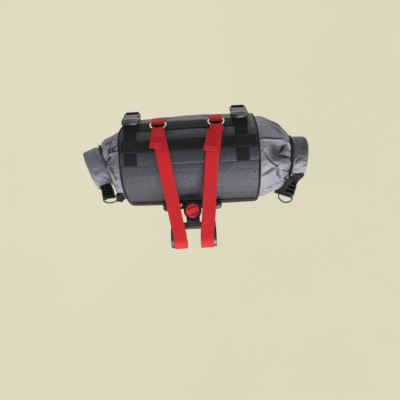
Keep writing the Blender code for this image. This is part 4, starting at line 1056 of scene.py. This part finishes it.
def makeBuckle(side):
    # A side-release buckle: each half is a body, two rails and the bar that its webbing goes round. The
    # tongue's arms lie low in the notches beside the socket's neck.
    turn = np.radians(buckle["angle"])
    middle = onBag(side["buckle"], buckle["angle"], buckle["standoff"] + buckle["wall"] / 2)
    frameOf = (middle, np.array([1.0, 0, 0]), np.array([0, -np.sin(turn), np.cos(turn)]),
               np.array([0, np.cos(turn), np.sin(turn)]))
    half, length, face = buckle["width"] / 2, buckle["length"] / 2, buckle["wall"] / 2
    neck, rail, soft = half - 4.2 * mm, 3.2 * mm, 1.8 * mm
    slot = length - buckle["bar"] - buckle["slot"]
    for part, sign, low, high in (("socket", 1, -face, face),
                                  ("tongue", -1, buckle["thin"] - face, face - buckle["thin"])):
        start = -6.0 * mm if sign > 0 else 6.3 * mm
        step = [(neck, start), (neck, 3.0 * mm), (half - 0.4 * mm, 3.0 * mm), (half, 4.6 * mm)]
        body = (step if sign > 0 else [(half - 0.6 * mm, start)]) + [(half, slot - soft), (half, slot)]
        shells = [plateShell([(u, sign * v) for u, v in bothSides(body)], frameOf, low, high)]
        bars = [(half - soft, length), (half, length - soft), (half, length - buckle["bar"])]
        shells.append(plateShell([(u, sign * v) for u, v in bothSides(bars[::-1])], frameOf, low, high))
        for u in (half - rail, -half):
            near, far = slot - 1 * mm, length - 2 * mm
            box = [(u, near), (u + rail, near), (u + rail, far), (u, far)]
            box = [(a, sign * b) for a, b in box]
            shells.append(plateShell(box, frameOf, low + 0.3 * mm, high - 0.3 * mm))
        if sign < 0:
            for u in (neck + 0.4 * mm, -half + 0.3 * mm):
                box = [(u, -7 * mm), (u + 3.4 * mm, -7 * mm), (u + 3.4 * mm, 2.4 * mm), (u, 2.4 * mm)]
                shells.append(plateShell(box, frameOf, low + 1 * mm, high - 4.2 * mm, 0.6 * mm))
        else:
            pad = [(7.5 * mm, 2.0 * mm), (7.5 * mm, 13.0 * mm), (6 * mm, 14.5 * mm)]
            shells.append(plateShell(bothSides(pad), frameOf, face - 1 * mm, face + 0.45 * mm, 0.6 * mm))
        node = "buckle_" + part + "_" + side["name"]
        addPiece(node + "_body", shells, "blackPlastic", [node], sharp=50.0)
        if part == "tongue":
            makeBuckleFold(side, frameOf, sign)


def makeBuckleFold(side, frameOf, sign):
    # The strap comes up through the slot and folds over the bar: (along, out) points in millimetres
    middle, _, along, out = frameOf
    fold = smoothPath([(18.8, -5.2), (18.6, -1.0), (19.0, 3.2), (20.6, 5.5), (24.2, 5.4), (26.6, 3.4),
                       (29.0, -0.8), (31.6, -5.2), (34.6, -9.4), (37.6, -12.4)], 60) * mm
    ahead = unit(np.gradient(fold, axis=0))
    path = middle + sign * fold[:, :1] * along + fold[:, 1:] * out
    normals = -sign * ahead[:, 1:] * along + ahead[:, :1] * out
    shell = bandShell(pathPlace(path, normals), np.arange(60))
    addPiece("strap_fold_" + side["name"], [shell], "blackWebbing")


for side in sides:
    makeBuckleStraps(side)
    makeBuckle(side)
print("buckles and their straps made")


# Steel rings, their red loops and the red straps

ring = {
    "wire": 3.0 * mm, "width": 30.0 * mm, "depth": 17.5 * mm, "bow": 3.0 * mm, "angle": 72.5,
    "standoff": 5.6 * mm, "loopWall": 1.2 * mm, "loopStart": 48.6,
}
bar = {"radius": 15.9 * mm + 0.15 * mm + 4.5 * mm, "strap": 25.2 * mm, "last": 257.0}


def slantedOutline(width, depth):
    # The steel ring's wire: a straight bar, short upright sides, then slants that meet in a short flat curve
    half, corner = width / 2, 2.0 * mm
    return np.array(bothSides([
        (half - 2 * corner, 0.0), (half - corner, 0.2 * mm), (half - 0.2 * mm, corner), (half, 2 * corner),
        (half - 0.2 * mm, 0.36 * depth), (half - 2.2 * mm, 0.62 * depth), (0.52 * half, 0.90 * depth),
        (0.34 * half, 0.98 * depth), (0.12 * half, depth)]))


def ringOutline(width, depth, bow):
    # A D-ring's wire: a straight bar, two round corners, straight sides and a curve that bows by the square
    half, corner = width / 2, 2.0 * mm
    across = np.linspace(webbing["width"] / 2, -webbing["width"] / 2, 9)
    curve = np.stack([across, depth - bow * (2 * across / webbing["width"]) ** 2], 1)
    sideTop = depth - bow * 1.9
    turns = np.radians(np.linspace(180, 270, 4))
    start = np.stack([-half + corner + corner * np.cos(turns), corner + corner * np.sin(turns)], 1)
    flat = np.stack([np.linspace(-half + 2 * corner, half - 2 * corner, 5), np.zeros(5)], 1)
    end = start[::-1] * [-1, 1]
    return np.concatenate([start, flat, end, [(half, corner * 2)], [(half, sideTop)], curve,
                           [(-half, sideTop)], [(-half, corner * 2)]])


def wireShell(outline, origin, across, along, out, wire):
    # A round wire carried along a flat closed outline
    flat = smoothPath(outline, 150, closed=True)
    centre = origin + flat[:, :1] * across + flat[:, 1:] * along
    ahead = unit(np.roll(centre, -1, 0) - np.roll(centre, 1, 0))
    beside = unit(np.cross(ahead, out))[:, None]
    turn = np.linspace(0, 2 * np.pi, 14, endpoint=False)[:, None]
    return gridShell(centre[:, None] + wire / 2 * (beside * np.cos(turn) + out * np.sin(turn)), closed=True)


def ringFrame(side):
    # The middle of a steel ring's straight bar, and the ring's directions across, along and out of the bag
    turn = np.radians(ring["angle"])
    along = np.array([0.0, -np.sin(turn), np.cos(turn)])
    out = np.array([0.0, np.cos(turn), np.sin(turn)])
    origin = onBag(side["ring"], ring["angle"], ring["standoff"]) - along * ring["depth"] / 2
    return origin, np.array([1.0, 0.0, 0.0]), along, out


def polar(point):
    # A point's angle round the bag and its height above the panel
    y, z = point[..., 1] - bag["ahead"], point[..., 2] - bag["above"]
    return np.degrees(np.arctan2(z, y)) % 360, np.hypot(y, z) - harnessRadius(point[..., 0])


def makeRing(side):
    # A round wire bent to the slanted outline, which the red strap goes through
    wire = wireShell(slantedOutline(ring["width"], ring["depth"]), *ringFrame(side), ring["wire"])
    addPiece("steel_ring_" + side["name"], [wire], "nickel", ["d_ring_" + side["name"]], sharp=80.0)


def makeRingLoop(side):
    # The loop's route: up from its sewn end over the front row, round the ring's bar and back over itself
    wall = ring["loopWall"]
    reach = ring["wire"] / 2 + bag["gap"] + wall / 2
    start = 2 * bag["gap"] + wall / 2
    over = start + webbing["wall"] + bag["gap"]
    lift = wall + bag["gap"]
    origin = ringFrame(side)[0]
    barAngle, barHeight = polar(origin)
    # Angle and height, below the bar and above it
    low = np.array([(ring["loopStart"], start), (52.0, start), (55.5, (start + over) / 2), (58.5, over)])
    high = np.array([(barAngle - 5.0, barHeight + reach - lift * 0.5), (60.0, over + 1.6 * lift),
                     (56.0, over + lift * 0.75), (52.0, start + lift * 1.15),
                     (ring["loopStart"], start + lift)])
    fold = -outwardAt(barAngle + np.linspace(0, -180, 13))
    path = np.concatenate([onBag(origin[0], low[:, 0], low[:, 1]), origin + reach * fold,
                           onBag(origin[0], high[:, 0], high[:, 1])])
    normals = np.concatenate([-outwardAt(low[:, 0]), fold, outwardAt(high[:, 0])])
    both = smoothPath(np.concatenate([path, unit(normals) * 4 * mm], 1), 90)
    place = pathPlace(both[:, :3], both[:, 3:])
    addPiece("ring_strap_" + side["name"], [bandShell(place, np.arange(90), wall=wall)], "redWebbing",
             ["ring_loop_" + side["name"]])
    across = np.linspace(-11 * mm, 11 * mm, 30)
    sewn = [stitches(place, np.full(30, row), across, wall / 2, 1.7 * mm, 1.5 * mm) for row in (84.0, 80.0)]
    addPiece("ring_strap_stitches_" + side["name"], sewn, "redThread")


def tangentAngle(near, far, sign):
    # The outward angle that the bar and the bag share on their common outer tangent
    distance = np.hypot(bag["ahead"], bag["above"])
    tilt = np.degrees(np.arctan2(bag["above"], bag["ahead"]))
    swing = np.degrees(np.arcsin((far - near) / distance))
    return 90 + tilt + swing if sign > 0 else 270 + tilt - swing


def redRoute(side):
    # From the tab's end, through the steel ring, over the bag to the bar, round it and back below the bag:
    # for each point its place, its normal and the bow that the ring's curve gives the strap, then the place
    # at the wire
    reach = ring["wire"] / 2 + 2 * bag["gap"] + webbing["wall"] / 2
    barRadius = bar["radius"] + bag["gap"] + webbing["wall"] / 2
    origin, _, along, _ = ringFrame(side)
    wire = origin + along * ring["depth"]
    wireAngle, wireHeight = polar(wire)
    lowHeight = wireHeight - reach
    tabHeight = lowHeight + webbing["wall"] + bag["gap"]
    ringX = side["ring"]
    radius = harnessRadius(side["redLeave"])
    leave = tangentAngle(barRadius, radius + lowHeight, 1)
    join = tangentAngle(barRadius, radius + onPanel + bag["gap"], -1)

    tabAngle = np.linspace(side["tabEnd"], wireAngle + 9, 5)
    tabX = np.interp(-tabAngle, [-side["tabEnd"], -wireAngle], [ringX + side["tabShift"], ringX])
    riseAngle = np.array([wireAngle + 5.5, wireAngle + 2.5])
    foldOut = outwardAt(wireAngle + np.linspace(0, -180, 13))
    lowAngle = np.concatenate([[wireAngle + 2.5, wireAngle + 6], np.linspace(wireAngle + 10, leave, 9)])
    low = onBag(np.interp(lowAngle, [wireAngle, leave], [ringX, side["redLeave"]]), lowAngle, lowHeight)
    barOut = outwardAt(np.linspace(leave, join, 23))
    onBar = barRadius * barOut + np.array([side["sign"] * bar["strap"], 0.0, 0.0])
    endAngle = np.linspace(join, bar["last"], 5)
    end = onBag(np.linspace(side["redLeave"], side["redEnd"], 5), endAngle, onPanel + bag["gap"])
    t = np.array([[0.25], [0.5], [0.75]])
    runs = [
        (onBag(tabX, tabAngle, tabHeight), outwardAt(tabAngle)),
        (onBag(ringX, riseAngle, wireHeight + reach * np.array([0.45, 0.92])), outwardAt(riseAngle)),
        (wire + reach * foldOut, foldOut),
        (low, -outwardAt(lowAngle)),
        (low[-1] * (1 - t) + onBar[0] * t, -barOut[[0, 0, 0]]),
        (onBar, -barOut),
        (onBar[-1] * (1 - t) + end[0] * t, -barOut[[-1, -1, -1]]),
        (end, -outwardAt(endAngle)),
    ]
    path, normals = [np.concatenate(column) for column in zip(*runs)]
    near = 1 - ease((polar(path)[0] - wireAngle) / 12)
    near = np.where(path[:, 1] > bag["ahead"] - bag["radius"] / 2, near, 0.0)
    bow = -near[:, None] * ring["bow"] * along
    return np.concatenate([path, unit(normals) * 4 * mm, bow], 1), wire + reach * foldOut[6]


redStrap = {
    "steps": 420, "gathered": 0.60, "hem": 11.0 * mm, "hemWall": 1.2 * mm, "hemLift": 1.4 * mm,
    "seams": (3.0 * mm, 9.0 * mm),
}


def makeRedStrap(side):
    # The strap, whose end is hemmed with a second layer, gathered where it goes round the ring's wire
    route, atWire = redRoute(side)
    smooth = smoothPath(route, redStrap["steps"])
    flat = pathPlace(smooth[:, :3], smooth[:, 3:6], smooth[:, 6:])
    bend = np.argmin(np.linalg.norm(smooth[:, :3] - atWire, axis=1))

    def place(along, across, height):
        width = redStrap["gathered"] + (1 - redStrap["gathered"]) * ease(abs(along - bend) / 9)
        return flat(along, across * width, height)

    def hemPlace(along, across, height):
        return place(along, across, height + redStrap["hemLift"])

    step = np.linalg.norm(smooth[1, :3] - smooth[0, :3])
    hem = np.linspace(0, redStrap["hem"] / step, 12)
    shells = [bandShell(place, np.arange(redStrap["steps"]), across=11),
              bandShell(hemPlace, hem, wall=redStrap["hemWall"], across=11)]
    addPiece("red_band_" + side["name"], shells, "redWebbing", ["red_strap_" + side["name"]])
    across = np.linspace(-10 * mm, 10 * mm, 30)
    sewn = [stitches(hemPlace, np.full(30, seam / step), across, redStrap["hemWall"] / 2, 2.4 * mm, 1.9 * mm)
            for seam in redStrap["seams"]]
    addPiece("red_band_stitches_" + side["name"], sewn, "redThread")


for side in sides:
    makeRing(side)
    makeRingLoop(side)
    makeRedStrap(side)
print("rings and red straps made")


# Hard parts of the mount

finishedCopy("clamp_body", "bar_clamp", "blackPlastic", 0.8 * mm)
finishedCopy("bracket_body", "mount_bracket", "blackPlastic", 0.8 * mm)
for name in ("left", "right"):
    finishedCopy("screw_head_" + name, "bracket_screw_" + name, "nickel", 0.3 * mm)

knob = {
    "radius": 12.75 * mm, "height": 9.5 * mm, "recess": 4.0 * mm, "rib": 8.5 * mm, "lean": 22.0,
    "rise": 15.0 * mm, "ahead": 47.5 * mm, "turn": 17.0, "rim": 1.8 * mm, "edge": 1.0 * mm,
}


def makeKnob():
    # A turned cap whose top is a height field: full height on the rim and the rib, sunk by the recess between
    # them, and each step eased over a millimetre
    lean, turn = np.radians(knob["lean"]), np.radians(knob["turn"])
    level = np.array([1.0, 0.0, 0.0])
    axis = np.array([0.0, -np.sin(lean), np.cos(lean)])
    seat = np.array([0.0, knob["ahead"], knob["rise"]])
    across = level * np.cos(turn) + np.cross(axis, level) * np.sin(turn)
    beside = np.cross(axis, across)
    angle = np.linspace(0, 2 * np.pi, 144, endpoint=False)[None, :]
    rim, edge, top = knob["radius"], knob["edge"], knob["height"]
    bend = np.radians(np.linspace(0, 90, 6))
    radius = np.concatenate([[rim - edge], rim - edge + edge * np.sin(bend), rim - edge + edge * np.cos(bend),
                             np.linspace(rim - 1.2 * edge, 0.02 * mm, 60)])[:, None]
    height = np.concatenate([[0.0], edge - edge * np.cos(bend), top - edge + edge * np.sin(bend),
                             np.full(60, top)])[:, None]
    besideRib = ease((abs(radius * np.sin(angle)) - knob["rib"] / 2) / (1.2 * mm))
    insideRim = ease((rim - knob["rim"] - radius) / (1.0 * mm)) * (height >= top - 1e-9)
    height = height - besideRib * insideRim * knob["recess"]
    points = seat + (radius * np.cos(angle))[..., None] * across
    points = points + (radius * np.sin(angle))[..., None] * beside + height[..., None] * axis
    addPiece("knob_cap", [gridShell(points)], "redPlastic", ["lock_knob"], body="knob", sharp=40.0)


makeKnob()
print("mount dressed")


# What holds each rolled end back

closure = {
    "wire": 3.0 * mm, "width": 28.0 * mm, "depth": 18.0 * mm, "bow": 6.5 * mm, "tab": 12.0 * mm,
    "ladderWidth": 24.0 * mm, "ladderShift": 3.5 * mm, "ladderWall": 5.0 * mm, "ladderShare": 0.52,
}
left["closure"] = {
    # share of the way to the roll, angle, share of the radius
    "ring": (0.670, 168.5, 0.910), "tip": (0.735, 181.5, 0.955), "turn": 12.0, "leaves": 168.0, "span": 4.0,
    "anchor": (0.070, 176.0, 0.940), "above": False,
}
right["closure"] = {
    "ring": (0.853, 203.0, 0.916), "tip": (0.811, 208.4, 1.080), "turn": -28.0, "leaves": 186.0, "span": 12.0,
    "anchor": (0.860, 166.0, 0.700), "above": True,
}


def besideBag(side, along, angle, share):
    # A place beyond the harness: a share of the way to the roll, at an angle, at a share of the bag's radius
    reach = bag["halfWidth"] + along * (side["inner"] - bag["halfWidth"])
    turn = np.radians(angle)
    return np.array([side["sign"] * reach, bag["ahead"] + share * bag["radius"] * np.cos(turn),
                     bag["above"] + share * bag["radius"] * np.sin(turn)])


def bandAlong(name, route, width, node):
    # Webbing on a smooth path through (point, normal) pairs
    points = np.array([np.concatenate([point, unit(normal) * 4 * mm]) for point, normal in route])
    smooth = smoothPath(points, 90)
    shells = [bandShell(pathPlace(smooth[:, :3], smooth[:, 3:]), np.arange(90), width)]
    addPiece(name, shells, "blackWebbing", [node])


def makeClosure(side):
    # From the roll, under the ladder buckle and round the ring's straight bar; a narrow tab holds the ring to
    # the bag. Each band turns round a wire at the wire's radius, the gap and half its own wall.
    own, sign = side["closure"], side["sign"]
    start, tip = besideBag(side, *own["ring"]), besideBag(side, *own["tip"])
    along = unit(tip - start)
    turn = np.radians(own["turn"])
    level = np.array([np.cos(turn), np.sin(turn), 0.0])
    across = unit(level - np.dot(level, along) * along)
    out = np.cross(across, along)
    outline = ringOutline(closure["width"], closure["depth"], closure["bow"])
    wire = wireShell(outline, start, across, along, out, closure["wire"])
    addPiece("closure_ring_" + side["name"], [wire],
             "blackSteel", ["end_ring_" + side["name"]], sharp=80.0)

    face = dryBag["mouthRadius"] + dryBag["rollWall"] / 2
    wide = side["outer"] - side["inner"]
    angle = np.linspace(own["leaves"] - own["span"], own["leaves"], 5)
    onRoll = rollPoint(side, angle, face, wide / 2)
    flat = unit(rollPoint(side, angle, face, wide) - onRoll) * sign
    lifted = unit(np.cross(np.gradient(onRoll, axis=0), flat))
    onRoll = onRoll + lifted * (onPanel + 0.6 * mm)
    pull = start - onRoll[-1]
    heading = unit(pull - np.dot(pull, across) * across)
    clear = closure["wire"] / 2 + bag["gap"]
    reach = np.linalg.norm(pull) * closure["ladderShare"] / 2
    normal = np.cross(heading, across)
    normal = normal * np.sign(normal[2])
    middle = start - heading * (clear + reach) + sign * closure["ladderShift"] * across
    under = -normal * (closure["ladderWall"] / 2 + webbing["wall"] / 2 + 0.4 * mm)
    bend = closure["wire"] / 2 + bag["gap"] + webbing["wall"] / 2
    wire = start + sign * closure["ladderShift"] * across * 0.4
    route = [*zip(onRoll, lifted)]
    route += [(middle - heading * (reach + 3 * mm) + under * 0.4, normal),
              (middle - heading * reach * 0.6 + under, normal),
              (middle + heading * reach * 0.6 + under, normal), (wire - normal * bend, normal),
              (wire + heading * bend, -heading), (wire + normal * bend, -normal),
              (wire + normal * bend * 0.9 - heading * 2.5 * mm, -normal)]
    bandAlong("closure_band_" + side["name"], route, closure["ladderWidth"] - 2 * mm,
              "closure_tab_" + side["name"])
    finishedCopy("closure_ladder_" + side["name"], "closure_buckle_" + side["name"], "blackPlastic", 0.7 * mm)

    anchor = besideBag(side, *own["anchor"])
    inward = -sign * across
    if own["above"]:
        held = start + inward * (closure["tab"] / 2 + closure["ladderWidth"] / 2 - closure["ladderShift"])
        back = -along
    else:
        held = start + inward * closure["width"] / 2 + along * closure["depth"] / 4
        back = inward
    outer = anchor - np.array([anchor[0], bag["ahead"], bag["above"]])
    up = out * np.sign(np.dot(out, outer))
    route = [(anchor, outer), (held + back * 5 * mm + up * 1.6 * mm, up), (held + up * bend, up),
             (held - back * bend, -back), (held - up * bend, -up),
             (held + back * 5 * mm - up * 1.2 * mm, -up)]
    bandAlong("closure_anchor_" + side["name"], route, closure["tab"] + 8 * mm, "ring_tab_" + side["name"])


for side in sides:
    makeClosure(side)
print("closures made")


# Floor and light

stage = {
    "size": 12.0, "drop": -2.2, "glow": 0.50, "sky": 0.38,
    "lamps": [
        # name, place, target, size, watts, spread
        ("rear window", (0.30, -1.45, 0.00), (0.05, 0.15, 0.0), 1.2, 11.0, 70.0),
        ("front window", (0.0, 1.80, 0.20), (0.0, 0.15, 0.05), 1.1, 2.4, 70.0),
        ("ceiling", (-0.3, 0.3, 2.0), (0.0, 0.1, 0.0), 1.4, 7.0, 180.0),
        ("right window", (1.30, -0.85, 0.85), (0.17, 0.15, 0.0), 0.5, 1.4, 60.0),
        ("left window", (-1.30, -0.75, 0.80), (-0.23, 0.15, 0.0), 0.3, 0.20, 14.0),
    ],
}


def makeStage():
    # A plain pale floor well below, lit from under like a light table, an even sky and five soft lamps
    mesh = bpy.data.meshes.new("floor")
    size, drop = stage["size"], stage["drop"]
    corners = [(-size, -size, drop), (size, -size, drop), (size, size, drop), (-size, size, drop)]
    mesh.from_pydata(corners, [], [(0, 1, 2, 3)])
    made, tree, shader = startMaterial("pale floor", Specular_IOR_Level=0.2, Roughness=0.9,
                                       Emission_Strength=stage["glow"])
    place = addNode(tree, "TexCoord", "Object", {})
    cloud = addNode(tree, "TexNoise", "Fac", {"Vector": place, "Scale": 1 / 0.6, "Detail": 3.0})
    colour = blend(tree, cloud, 0.0, 1.0, "#e4e0c5", "#e7e3c8")
    tree.links.new(colour, shader.inputs["Base Color"])
    tree.links.new(colour, shader.inputs["Emission Color"])
    mesh.materials.append(made)
    floor = bpy.data.objects.new("floor", mesh)
    bpy.context.scene.collection.objects.link(floor)
    world = bpy.data.worlds.new("studio sky")
    bpy.context.scene.world = world
    world.use_nodes = True
    sky = world.node_tree.nodes["Background"]
    sky.inputs["Color"].default_value = (1.0, 1.0, 1.0, 1.0)
    sky.inputs["Strength"].default_value = stage["sky"]
    for name, place, target, wide, watts, spread in stage["lamps"]:
        light = bpy.data.lights.new(name, "AREA")
        light.energy = watts
        light.size = wide
        light.spread = np.radians(spread)
        away = unit(np.array(place) - np.array(target))
        right = unit(np.cross([0.0, 0.0, 1.0], away))
        standAt(bpy.data.objects.new(name, light), place, right, np.cross(away, right), away)
    bpy.context.scene.view_settings.view_transform = "Standard"


makeStage()
print("stage set")
